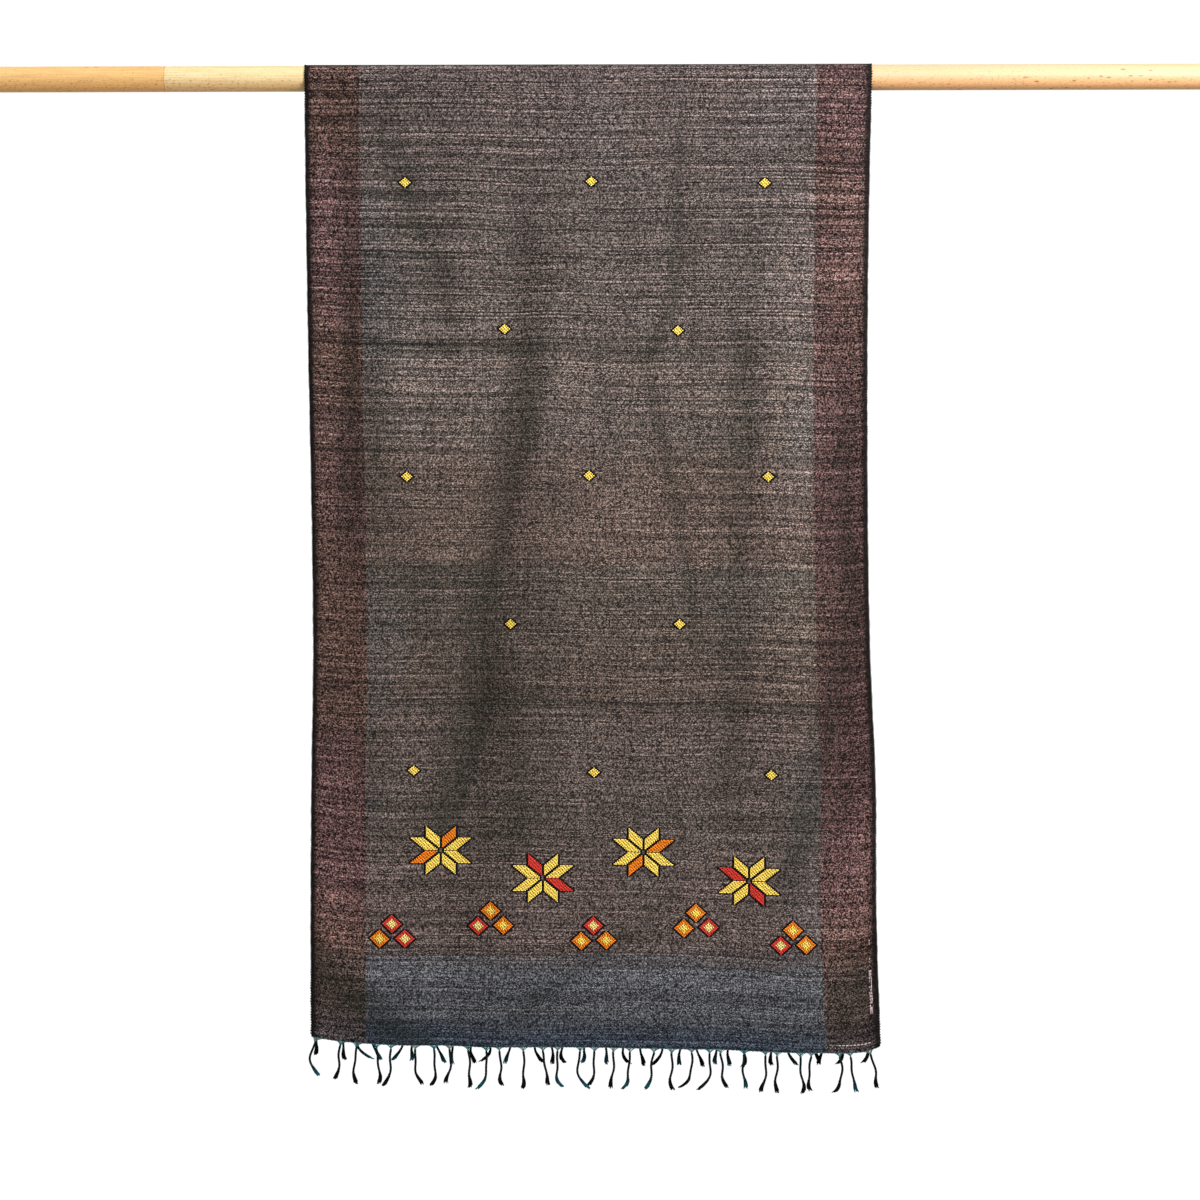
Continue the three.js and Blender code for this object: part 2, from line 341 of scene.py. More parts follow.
class Nodes:
    """The node tree of one material, or of the world."""

    def __init__(self, owner: bpy.types.Material | bpy.types.World) -> None:
        """Empties the tree of a new material or world."""
        self.owner = owner
        owner.use_nodes = True
        self.tree = owner.node_tree
        self.tree.nodes.clear()

    def node(
        self, kind: str, settings: dict[str, Any] | None = None, values: dict[Any, Any] | None = None
    ) -> Made:
        """Adds one node.

        Args:
            kind: the node's type.
            settings: what is set on it first. "stops" fills a colour ramp.
            values: a number, colour or wire for each input, by name or number.

        Returns:
            The node that was made.
        """
        made = self.tree.nodes.new(kind)
        for key, value in (settings or {}).items():
            if key == "stops":
                self._fill_ramp(made.color_ramp, value)
            else:
                setattr(made, key, value)
        for key, value in (values or {}).items():
            if isinstance(value, Wire):
                self.tree.links.new(value.socket, made.inputs[key])
            elif isinstance(value, tuple) and len(value) == 3 and made.inputs[key].type == "RGBA":
                made.inputs[key].default_value = (*value, 1)
            else:
                made.inputs[key].default_value = value
        return Made(self, made)

    @staticmethod
    def _fill_ramp(ramp: bpy.types.ColorRamp, stops: Sequence[tuple[float, Colour]]) -> None:
        """Gives a colour ramp its stops."""
        for _ in stops[2:]:
            ramp.elements.new(0.5)
        for element, (place, colour) in zip(ramp.elements, stops):
            element.position, element.color = place, (*colour, 1)

    def maths(self, operation: str, *values: Value) -> Wire:
        """A Math node on one or two values."""
        return self.node("ShaderNodeMath", {"operation": operation}, dict(enumerate(values)))[0]

    def mix(self, share: Value, first: Any, second: Any) -> Wire:
        """A mix of two colours.

        Args:
            share: how much of the second one shows.
            first, second: colours or wires.

        Returns:
            The mixed colour.
        """
        values = {0: share, 6: first, 7: second}
        return self.node("ShaderNodeMix", {"data_type": "RGBA"}, values)[2]

    def scaled(self, colour: Any, by: Value) -> Wire:
        """A colour times one number."""
        return self.node("ShaderNodeVectorMath", {"operation": "SCALE"}, {0: colour, "Scale": by})[0]

    def vector(self, x: Value, y: Value, z: Value = 0.0) -> Wire:
        """Three values joined into a vector."""
        return self.node("ShaderNodeCombineXYZ", None, {0: x, 1: y, 2: z})[0]

    def noise(self, place: tuple[Wire, ...], detail: float = 2.0, roughness: float = 0.5) -> Wire:
        """Noise from 0 to 1 with a mean of about one half, one cell for each unit of place."""
        values = {"Vector": self.vector(*place), "Scale": 1.0, "Detail": detail, "Roughness": roughness}
        return self.node("ShaderNodeTexNoise", {"noise_dimensions": "3D"}, values)["Fac"]

    def crossings(self, across: Wire, along: Wire) -> Wire:
        """A number from 0 to 1 for each crossing of threads, with no link from one to the next.

        Args:
            across, along: how many threads lie before the place, each way.

        Returns:
            The number of the crossing that the place lies in.
        """
        row = self.maths("FLOOR", along)
        column = self.maths("FLOOR", across + row * 0.37)
        values = {"Vector": self.vector(column, row)}
        return self.node("ShaderNodeTexWhiteNoise", {"noise_dimensions": "2D"}, values)["Value"]

    def parts(self, vector: Wire) -> tuple[Wire, Wire, Wire]:
        """The three values that a vector joins."""
        split = self.node("ShaderNodeSeparateXYZ", None, {0: vector})
        return split[0], split[1], split[2]

    def place_on_cloth(self, name: str) -> tuple[Wire, Wire]:
        """The two coordinates of a named UV map."""
        return self.parts(self.node("ShaderNodeUVMap", {"uv_map": name})[0])[:2]

    def place_in_frame(self) -> tuple[Wire, Wire, Wire]:
        """The object coordinates, in metres."""
        return self.parts(self.node("ShaderNodeTexCoord")["Object"])

    def value(self, name: str) -> Wire:
        """A number that the piece's points carry."""
        return self.node("ShaderNodeAttribute", {"attribute_name": name})["Fac"]

    def bump(self, height: Wire, strength: float, distance: float) -> Wire:
        """A bumped normal from a height."""
        values = {"Height": height, "Strength": strength, "Distance": distance}
        return self.node("ShaderNodeBump", None, values)["Normal"]

    def finish(
        self, colour: Any, roughness: Value, normal: Wire | None = None, **fixed: float
    ) -> bpy.types.Material:
        """Ends a material's tree in one Principled shader.

        Args:
            colour: its base colour.
            roughness: its roughness.
            normal: its bumped normal, if it has one.
            fixed: other sockets, by name with _ for a space, set to one number.

        Returns:
            The finished material.
        """
        values: dict[str, Any] = {"Base Color": colour, "Roughness": roughness}
        if normal is not None:
            values["Normal"] = normal
        values |= {key.replace("_", " "): number for key, number in fixed.items()}
        shader = self.node("ShaderNodeBsdfPrincipled", None, values)
        self.node("ShaderNodeOutputMaterial", None, {"Surface": shader["BSDF"]})
        return self.owner


def new_material(name: str) -> Nodes:
    """The empty node tree of a new material."""
    return Nodes(bpy.data.materials.new(name))


# ---------------- finishes


@dataclass(frozen=True)
class WovenSilk:
    """Plain-woven slubby silk: a brown-grey field, darker warp stripes and blue-grey ends."""

    field_edge: Colour = srgb(72, 73, 76)
    stripe: Colour = srgb(61, 43, 43)
    stripe_brown: Colour = srgb(63, 46, 41)
    end_stripe: Colour = srgb(57, 46, 40)
    end_band: Colour = srgb(75, 78, 84)
    hem: Colour = srgb(35, 44, 56)
    pick_light: Colour = srgb(168, 144, 140)
    pick_dark: Colour = srgb(12, 10, 10)
    # colour of the painted shade in the creases
    shade: Colour = srgb(20, 28, 19)
    stripe_inner: float = 0.222  # half the width of the field between the stripes
    stripe_blur: float = 0.0012  # half the width over which the colours of the warp change
    end_start: float = 0.100  # how far above a hem the blue-grey weft begins
    end_blur: float = 0.028  # length over which it does
    hem_start: float = 0.040  # how far above a hem the weft turns navy
    dark_lines: tuple[tuple[float, float, float], ...] = (  # middle, half length, depth
        (0.051, 0.012, 0.16),
        (0.086, 0.014, 0.12),
    )
    line_core: float = 0.008  # length over which such a line fades in
    warp_ends: float = 980.0  # threads in a metre of the cloth's width
    weft_picks: float = 1010.0  # threads in a metre of its length
    relief: float = 0.0006  # height of the weave's bumps
    lots: tuple[tuple[float, Colour], ...] = (  # the weft's dye lots, by metres from the crown
        (0.00, srgb(76, 67, 66)),
        (0.16, srgb(73, 66, 64)),
        (0.272, srgb(78, 70, 67)),
        (0.284, srgb(60, 55, 52)),
        (0.300, srgb(84, 75, 71)),
        (0.37, srgb(79, 71, 67)),
        (0.40, srgb(80, 69, 64)),
        (0.490, srgb(81, 69, 64)),
        (0.500, srgb(71, 64, 59)),
        (0.622, srgb(74, 64, 59)),
        (0.629, srgb(56, 50, 46)),
        (0.641, srgb(77, 67, 63)),
        (0.715, srgb(77, 68, 65)),
        (0.735, srgb(70, 63, 59)),
        (0.80, srgb(77, 67, 64)),
        (1.00, srgb(75, 66, 64)),
    )

    def warp_and_lots(self, n: Nodes, across: Wire, along: Wire) -> tuple[Wire, Wire]:
        """The colours before the single threads: dye lots of the weft crossed by the warp stripes.

        Args:
            n: the material's nodes.
            across, along: the cloth's flat coordinates.

        Returns:
            The colour, and how far a place lies in a side stripe.
        """
        clouds = n.noise((across * 8.0, along * 5.0), 3.0)
        warm = n.noise((across * 5.0 + 7.0, along * 3.0))
        ragged = (n.noise((across * 3.0, along * 260.0)) - 0.5) * 0.012
        stops = {"stops": self.lots}
        lots = n.node("ShaderNodeValToRGB", stops, {0: along.size() + ragged})["Color"]
        near_stripe = across.size().between(0.150, self.stripe_inner - 0.01)
        bluer = near_stripe * 0.45 * warm.between(0.46, 0.60) + (clouds - 0.55) * 1.0
        field = n.mix(bluer, lots, self.field_edge)
        lower = along.size().between(0.50, 0.85) * 0.5
        browner = n.noise((across * 2.0 + 4.0, along * 6.0), 1.0).between(0.38, 0.66)
        stripe = n.mix(browner, self.stripe, self.stripe_brown)
        stripe = n.mix(0.14, n.scaled(stripe, (warm - 0.5) * 1.3 + lower + 1.0), lots)
        inner, blur = self.stripe_inner, self.stripe_blur
        stripes = across.size().between(inner - blur, inner + blur)
        return n.mix(stripes, field, stripe), stripes

    def ends(
        self, n: Nodes, woven: Wire, stripes: Wire, across: Wire, along: Wire, to_hem: Wire
    ) -> Wire:
        """The colour with the blue-grey and navy picks that end the cloth.

        Args:
            n: the material's nodes.
            woven: the colour before them.
            stripes: how far a place lies in a side stripe.
            across, along: the cloth's flat coordinates.
            to_hem: how far above the hem a place lies.

        Returns:
            The colour with them.
        """
        ragged = (n.noise((across * 4.0, along * 190.0)) - 0.5) * 0.05
        end = (to_hem + ragged).between(self.end_start, self.end_start - self.end_blur)
        end_tone = n.mix(stripes * 0.88, self.end_band, self.end_stripe)
        ended = n.mix(end * 0.85, woven, end_tone)
        lines = [
            (to_hem + ragged * 0.2 - middle).size().between(half, half - self.line_core) * depth
            for middle, half, depth in self.dark_lines
        ]
        lower = to_hem.between(0.060, 0.044) * (1.0 - stripes * 0.8) * 0.18
        ended = n.scaled(ended, 1.0 - (lines[0] + lines[1]) * (1.0 - stripes) - lower)
        navy = (to_hem + ragged * 0.5 + across * 0.016).between(self.hem_start, 0.004)
        return n.mix(navy * (0.85 - stripes * 0.55), ended, self.hem)

    def weft(self, n: Nodes, across: Wire, along: Wire) -> tuple[Wire, Wire]:
        """The weft's single picks, whose thickness and tone wander slowly along them.

        Args:
            n: the material's nodes.
            across, along: the cloth's flat coordinates.

        Returns:
            How light a pick is, about 0, and how thick, from 0 to 1.
        """
        bowed = along + (n.noise((across * 5.0, along * 3.0), 1.0) - 0.5) * 0.012
        long_picks = n.noise((across * 1.6, bowed * 560.0))
        short_picks = n.noise((across * 10.0 + 5.0, bowed * 740.0))
        slubs = n.noise((across * 16.0 + 3.0, bowed * 520.0), 3.0, 0.6)
        bands = n.noise((across * 0.8, bowed * 75.0), 3.0, 0.6)
        return (long_picks - 0.5) * 2.9 + (short_picks - 0.5) * 1.9 + (bands - 0.5) * 0.5, slubs

    def edges(self, n: Nodes, toned: Wire, across: Wire, along: Wire, to_hem: Wire) -> Wire:
        """The colour with the painted shade and painted highlights of the creases, a painted highlight along
        the hem, dark selvedges, and painted shade along the crown.

        Args:
            n: the material's nodes.
            toned: the colour before them.
            across, along: the cloth's flat coordinates.
            to_hem: how far above the hem a place lies.

        Returns:
            The colour with them.
        """
        shaded = n.value("shaded")
        # Painted shade in the creases, mixed towards the greenish shade colour; where "shaded" is below 0,
        # the next line paints a highlight instead.
        final = n.mix(shaded, toned, n.mix(0.22, self.shade, toned))
        final = n.scaled(final, n.maths("MAXIMUM", 0.0 - shaded, 0.0) + 1.0)
        # Painted highlight along the last few millimetres above the hem.
        final = n.scaled(final, to_hem.between(0.010, 0.004) * 0.56 + 1.0)
        edge = across.size().between(0.2685, 0.2725) * 0.66 + across.size().between(0.262, 0.2735) * 0.26
        # Painted shade along the crown, where the cloth turns over the rod and away from the light.
        crown = along.size().between(0.0085, 0.004) * 0.75
        return n.mix(edge + crown, final, self.pick_dark)

    def material(self) -> bpy.types.Material:
        """The cloth's material, read from its flat coordinates and its points' values."""
        n = new_material("woven_silk")
        across, along = n.place_on_cloth("woven")
        to_hem = n.value("to_hem")
        woven, stripes = self.warp_and_lots(n, across, along)
        colour = self.ends(n, woven, stripes, across, along, to_hem)

        picks, slubs = self.weft(n, across, along)
        calmer = along.size().between(0.22, 0.42, 1.05, 0.70)  # the picks are evener lower down
        pale = picks.between(0.15, 0.75) * calmer * 0.16 + slubs.between(0.62, 0.78) * 0.10
        share = pale * (1.0 - stripes * 0.6) * (1.0 - to_hem.between(0.10, 0.05) * 0.7)
        lit = n.mix(share, colour, self.pick_light)
        slubbed = n.scaled(lit, picks.between(-0.75, 0.75, -0.70, 0.85) * calmer + 1.01)

        # Single crossings show as a fine pepper, and the warp as faint upright lines.
        pepper = n.crossings(across * self.warp_ends, along * self.weft_picks)
        grains = n.noise((across * 640.0 + 9.0, along * 780.0), 2.0, 0.6)
        warp_lines = n.noise((across * 500.0, along * 9.0), 1.0)
        dots = (pepper * pepper * 3.2 + 0.19) * grains.between(0.36, 0.62, 0.64, 1.46)
        calmed = (dots - 1.0) * (1.08 + stripes * 0.30 - pale * 1.8) + 1.0
        toned = n.scaled(slubbed, calmed * warp_lines.between(0.2, 0.8, 0.86, 1.14))
        final = self.edges(n, toned, across, along, to_hem)

        height = picks * 0.5 + slubs * 0.4 + pepper * 0.6 + warp_lines * 0.2
        normal = n.bump(height, 0.6, self.relief)
        fixed = {"Specular_IOR_Level": 0.12, "Sheen_Weight": 0.015, "Sheen_Roughness": 0.4}
        return n.finish(final, (slubs - 0.5) * 0.25 + 0.66, normal, **fixed)


@dataclass(frozen=True)
class InlaySilk:
    """A thick silk thread laid in by hand, in one colour."""

    name: str
    colour: Colour
    sheen: float = 0.15
    gloss: float = 0.5
    brightness: float = 1.0

    def material(self) -> bpy.types.Material:
        """The thread's material: its colour with fine streaks along its fibres, and painted shade where a
        float dips under the warp.
        """
        n = new_material("inlay_" + self.name)
        x, y, z = n.place_in_frame()
        fibres = n.noise((x * 320.0, y * 320.0, z * 2200.0))
        pepper = n.noise((x * 900.0, y * 900.0, z * 900.0), 1.0)
        tone = ((fibres - 0.5) * 1.5 + (pepper - 0.5) * 1.3 + 1.24) * self.brightness
        # Painted shade: a float darkens towards its ends, where it dips under the warp, by its points'
        # "shade" value.
        colour = n.scaled(self.colour, tone * (1.0 - n.value("shade") * 0.7))
        normal = n.bump(fibres, 0.5, 0.0002)
        fixed = {"Specular_IOR_Level": self.gloss, "Sheen_Weight": self.sheen}
        return n.finish(colour, (fibres - 0.5) * 0.3 + 0.5, normal, **fixed)


@dataclass(frozen=True)
class FringeSilk:
    """Dark navy warp ends, some of them dyed teal towards their tips."""

    dark: Colour = srgb(9, 10, 14)
    teal: Colour = srgb(22, 108, 122)
    faded: Colour = srgb(112, 138, 136)

    def material(self) -> bpy.types.Material:
        """The threads' material. "shade" is the share of teal, and past 1 of a faded grey-teal."""
        n = new_material("fringe_silk")
        x, y, z = n.place_in_frame()
        fibres = n.noise((x * 1500.0, y * 1500.0, z * 260.0))
        shade = n.value("shade")
        dyed = n.mix(shade.between(1.0, 2.0), n.mix(shade, self.dark, self.teal), self.faded)
        colour = n.scaled(dyed, (fibres - 0.5) * 1.1 + 1.0)
        normal = n.bump(fibres, 0.6, 0.0002)
        return n.finish(colour, (fibres - 0.5) * 0.3 + 0.65, normal, Specular_IOR_Level=0.1)


@dataclass(frozen=True)
class PineRod:
    """Sanded pine under thin oil, butt-jointed from two lengths."""

    early: Colour = srgb(250, 232, 180)
    late: Colour = srgb(240, 196, 124)
    orange: Colour = srgb(246, 178, 88)
    pale: Colour = srgb(238, 188, 148)
    # colour of the painted shade and warm bounce light on the rod's underside
    under: Colour = srgb(250, 178, 98)
    speck: Colour = srgb(140, 78, 30)
    joint: float = -0.4137  # x of the joint
    ring: float = 0.0024  # width of a year's growth

    def material(self) -> bpy.types.Material:
        """The wood's material: growth rings about a tilted pith, fibres, specks, the joint, a paler right
        end, and painted shade on the underside.
        """
        n = new_material("pine_rod")
        x, y, z = n.place_in_frame()
        left = x.between(self.joint + 0.0003, self.joint - 0.0003)
        wander = n.noise((x * 7.0, y * 60.0, z * 60.0))
        off_y = y + 0.006 + x * 0.011 + left * 0.007
        off_z = z - 0.021 + x * 0.008 - left * 0.004
        radius = n.maths("SQRT", off_y * off_y + off_z * off_z) + (wander - 0.5) * 0.004
        rings = n.maths("SINE", radius * (math.tau / self.ring)) * 0.5 + 0.5
        fibres = n.noise((x * 30.0, y * 480.0, z * 480.0), 3.0, 0.65)
        grain = rings.between(0.45, 1.0) * 0.42 + (fibres - 0.5) * 1.7 + 0.08
        wood = n.mix(grain, self.early, self.late)
        aged = n.scaled(n.mix(left * 0.62, wood, self.orange), 1.0 - (fibres - 0.5) * left * 0.45)
        # Paler towards the right end of the rod.
        paler_to_right = n.mix(x.between(-0.02, 0.28) * 0.8, aged, self.pale)
        cells = {"Vector": n.vector(x * 80.0, y * 210.0, z * 210.0), "Scale": 1.0}
        near = n.node("ShaderNodeTexVoronoi", None, cells)["Distance"]
        rare = n.noise((x * 9.0 + 2.0, y * 70.0, z * 70.0), 0.0)
        specks = near.between(0.26, 0.12) * rare.between(0.60, 0.66)
        flecks = n.noise((x * 420.0, y * 800.0, z * 800.0), 1.0)
        seam = (x - self.joint).size().between(0.0006, 0.0002)
        # Painted shade and warm bounce light: the rod turns orange towards its underside.
        painted_underside_shade = n.mix(z.between(0.001, -0.0105) * 0.55, paler_to_right, self.under)
        flecked = n.mix(flecks.between(0.57, 0.73) * z.between(0.006, -0.009, 0.24, 0.60), painted_underside_shade, self.speck)
        marked = n.mix(specks * 0.75, flecked, self.speck)
        sawn = x.size().between(0.6084, 0.6092) * (rings.between(0.2, 1.0) * 0.30 + 0.06)
        colour = n.mix(seam * 0.4 + sawn, marked, self.speck)
        normal = n.bump(fibres - rings * 0.3, 0.25, 0.0003)
        return n.finish(colour, (fibres - 0.5) * 0.2 + 0.5, normal, Coat_Weight=0.08, Coat_Roughness=0.35)


@dataclass(frozen=True)
class PlainFloor:
    """Matt pale floor."""

    colour: Colour = srgb(206, 204, 200)

    def material(self) -> bpy.types.Material:
        """The floor's material, with the faintest unevenness."""
        n = new_material("floor")
        x, y, _ = n.place_in_frame()
        clouds = n.noise((x * 3.0, y * 3.0))
        return n.finish(n.scaled(self.colour, (clouds - 0.5) * 0.03 + 1.0), 0.8)


class Yarn(Enum):
    """The colours of the inlaid threads, in the order of their material slots."""

    YELLOW = 0
    ORANGE = 1
    RED = 2
    GOLD = 3
    # Not a thread: a dark sheet under and round each motif, a painted shadow of its raised threads.
    GROUND = 4


YARN_FINISHES = {
    Yarn.YELLOW: InlaySilk("yellow", srgb(255, 220, 90), brightness=1.15),
    Yarn.ORANGE: InlaySilk("orange", srgb(255, 136, 6), sheen=0.03, gloss=0.25),
    Yarn.RED: InlaySilk("red", srgb(228, 60, 44), sheen=0.03, gloss=0.25),
    Yarn.GOLD: InlaySilk("gold", srgb(255, 230, 140), brightness=1.1),
    # The painted shadow round the motifs: near black and dull.
    Yarn.GROUND: InlaySilk("ground", srgb(13, 13, 19), sheen=0.0, gloss=0.06),
}


# ---------------- the cloth


@dataclass(frozen=True)
class Fold:
    """A soft wave down a drop. Lengths are millimetres; a height below 0 is a trough."""

    at: float
    drift: float  # how far it wanders aside by a depth of drift_depth
    width: float
    height: float
    start: float
    end: float
    drift_depth: float = 950.0
    fade: float = 110.0  # length over which it fades in and out

    def shape(self, x: Array, depth: Array) -> Array:
        """Height · shows(depth) · exp(-((x - at - drift depth / drift_depth) / width)²)."""
        off = (x - self.at - self.drift * depth / self.drift_depth) / self.width
        shows = rise(self.start, self.start + self.fade, depth)
        shows = shows * (1 - rise(self.end - self.fade, self.end, depth))
        return self.height * shows * np.exp(-off * off)


@dataclass(frozen=True)
class Crease:
    """A crease down a drop, in millimetres, with a width for each side of it."""

    path: Table  # x at each depth
    left: float
    right: float
    height: float  # below 0 it is a trough
    shade: float  # how dark its painted shade gets, up to 1; below 0 it is a painted highlight instead
    fade: float = 45.0  # half the length over which it fades at either end

    def shape(self, x: Array, depth: Array) -> Array:
        """1 along the crease, and fades · exp(-(off / width)²) beside it."""
        first, last = self.path[0][0], self.path[-1][0]
        off = x - look_up(self.path, np.clip(depth, first, last))
        width = np.where(off < 0, self.left, self.right)
        fades = rise(first - self.fade, first + self.fade, depth)
        fades = fades * (1 - rise(last - self.fade, last + self.fade, depth))
        return fades * np.exp(-((off / width) ** 2))


@dataclass(frozen=True)
class Drop:
    """One hanging side of the cloth, in millimetres."""

    side: int
    length: float  # of the woven cloth from the end of the turn to the hem
    left: Table
    right: Table
    hem: Table
    folds: tuple[Fold, ...]
    creases: tuple[Crease, ...]
    seed: int
    ripple_count: int = 10
    ripple_height: float = 0.16
    ripple_length: tuple[float, float] = (100.0, 55.0)  # its mean and its spread

    def edges(self, depth: Array) -> tuple[Array, Array]:
        """x of the left and right selvedge at a depth below the rod's axis."""
        return look_up(self.left, depth), look_up(self.right, depth)

    def hem_depth(self, across: Array) -> Array:
        """Depth of the hem at a share of the width."""
        return look_up(self.hem, across)

    def height(self, x: Array, depth: Array) -> Array:
        """How far the cloth stands out of its plane: its folds, creases and ripples together."""
        total = np.zeros(np.broadcast(x, depth).shape)
        for fold in self.folds:
            total = total + fold.shape(x, depth)
        for crease in self.creases:
            total = total + crease.height * crease.shape(x, depth)
        return total + self.ripples(x, depth)

    def shading(self, x: Array, depth: Array) -> Array:
        """How dark the painted shade in the creases makes the cloth, up to 1. Below 0 it is a painted
        highlight, paler.
        """
        lit = np.ones(np.broadcast(x, depth).shape)
        for crease in self.creases:
            lit = lit * (1 - crease.shade * crease.shape(x, depth))
        return np.clip(1 - lit, -0.5, 1)

    def ripples(self, x: Array, depth: Array) -> Array:
        """A sum of slanted sine waves that run mostly downwards and start below the turn."""
        index = np.arange(self.ripple_count)
        length = self.ripple_length[0] + self.ripple_length[1] * uneven(index, self.seed + 11)
        slant = 0.16 * uneven(index, self.seed + 12)
        start = math.pi * uneven(index, self.seed + 13)
        place = np.asarray(x)[..., None] + slant * np.asarray(depth)[..., None]
        waves = np.sin(math.tau * place / length + start)
        return self.ripple_height * waves.sum(-1) * rise(20, 160, depth)


@dataclass(frozen=True)
class DrapedCloth:
    """The woven length over the rod: two drops joined by a half turn."""

    front: Drop
    back: Drop
    rod_radius: float = 12.5
    clearance: float = 0.12
    thickness: float = 0.7
    width: float = 550.0
    columns: int = 150
    drop_rows: int = 140
    turn_rows: int = 9
    normal_step: float = 0.4

    @property
    def turn_radius(self) -> float:
        """Radius of the middle of the cloth over the rod."""
        return self.rod_radius + self.clearance + self.thickness / 2

    @property
    def quarter(self) -> float:
        """Length of cloth from the crown to the end of the turn."""
        return self.turn_radius * math.pi / 2

    def place(self, drop: Drop, across: Array, along: Array) -> Array:
        """The middle of the cloth in millimetres.

        Over the rod, y = side R sin(a) and z = R cos(a) with a = along / R. Below it,
        y = side (R + height) and z = -depth, where the depth is the share of the drop
        that along has covered, times the hem's depth at that share of the width. The
        selvedges wave by 0.12 sin(along / 9.7 + seed) + 0.16 sin(along / 2.3).

        Args:
            drop: the side of the rod.
            across: share of the width from the left selvedge.
            along: length of cloth from the crown.

        Returns:
            Points, with x, y and z on the last axis.
        """
        across, along = np.broadcast_arrays(np.asarray(across, float), np.asarray(along, float))
        share = np.maximum(0.0, (along - self.quarter) / drop.length)
        depth = share * drop.hem_depth(np.clip(across, 0, 1))
        left, right = drop.edges(depth)
        frayed = 0.12 * np.sin(along / 9.7 + drop.seed) + 0.16 * np.sin(along / 2.3)
        near_edge = np.exp(-np.minimum(across, 1 - across) * 60)
        x = left + (right - left) * across + frayed * near_edge * np.sign(across - 0.5)
        angle = np.minimum(along / self.turn_radius, math.pi / 2)
        y = self.turn_radius * np.sin(angle) + drop.height(x, depth) * (share > 0)
        z = self.turn_radius * np.cos(angle) - depth
        return np.stack([x, drop.side * y, z], axis=-1)

    def normal(self, drop: Drop, across: Array, along: Array) -> Array:
        """The outward normal, from points a step away along and across the cloth."""
        step = self.normal_step
        share = step / self.width
        over = self.place(drop, across + share, along) - self.place(drop, across - share, along)
        above = self.place(drop, across, np.maximum(0, along - step))
        down = self.place(drop, across, along + step) - above
        return unit(np.cross(over, down)) * drop.side

    def on_face(self, drop: Drop, across: Array, along: Array, lift: Array | float) -> Array:
        """Points in metres that stand a lift in millimetres above the cloth's outer face."""
        away = self.thickness / 2 + lift
        normal = self.normal(drop, across, along)
        return (self.place(drop, across, along) + normal * np.asarray(away)[..., None]) * MM

    def rows(self, drop: Drop) -> Array:
        """Lengths of cloth from the crown, for each row of points of one side."""
        turn = np.linspace(0, self.quarter, self.turn_rows, endpoint=False)
        return np.concatenate([turn, self.quarter + np.linspace(0, drop.length, self.drop_rows + 1)])

    def build(self) -> Piece:
        """The cloth as a closed shell with its flat coordinates and values."""
        across = np.linspace(0, 1, self.columns + 1)[None, :]
        points, normals, alongs, to_hem, shaded = [], [], [], [], []
        for drop in (self.front, self.back):
            along = self.rows(drop)[:, None]
            place = self.place(drop, across, along)
            depth = -np.minimum(place[..., 2], 0)
            # the painted shade of the creases at each point, or below 0 their painted highlight
            shade = drop.shading(place[..., 0], depth)
            parts = (place, self.normal(drop, across, along), drop.side * along + 0 * across)
            parts += (self.quarter + drop.length - along + 0 * across, shade)
            order = slice(None, None, -1) if drop.side < 0 else slice(1, None)
            for kept, part in zip((points, normals, alongs, to_hem, shaded), parts):
                kept.append(part[order])
        middle, normal = np.concatenate(points), np.concatenate(normals)
        half = self.thickness / 2
        shell = np.concatenate([middle + normal * half, middle - normal * half]) * MM
        rows, columns = middle.shape[:2]
        cloth = new_mesh("cloth_shell", shell, self.shell_faces(rows, columns))
        along = np.concatenate(alongs)
        flat = np.stack([(across - 0.5) * self.width + 0 * along, along], -1) * MM
        add_places(cloth, "woven", np.concatenate([flat, flat]))
        add_values(cloth, "to_hem", np.tile(np.concatenate(to_hem).ravel() * MM, 2))
        add_values(cloth, "shaded", np.tile(np.concatenate(shaded).ravel(), 2))
        cloth.data.materials.append(WovenSilk().material())
        return cloth

    @staticmethod
    def shell_faces(rows: int, columns: int) -> Faces:
        """Both faces of the cloth and the four narrow rims between them.

        Args:
            rows, columns: points along and across the cloth.

        Returns:
            The point numbers of each face.
        """
        outer = grid_faces(rows, columns)
        layer = rows * columns
        inner = outer[:, ::-1] + layer
        top, right = np.arange(columns - 1), np.arange(rows - 1) * columns + columns - 1
        border = np.concatenate([top, right, layer - 1 - top, layer - 1 - right])
        after = np.roll(border, -1)
        rims = np.stack([after, border, border + layer, after + layer], axis=1)
        return np.concatenate([outer, inner, rims]).tolist()


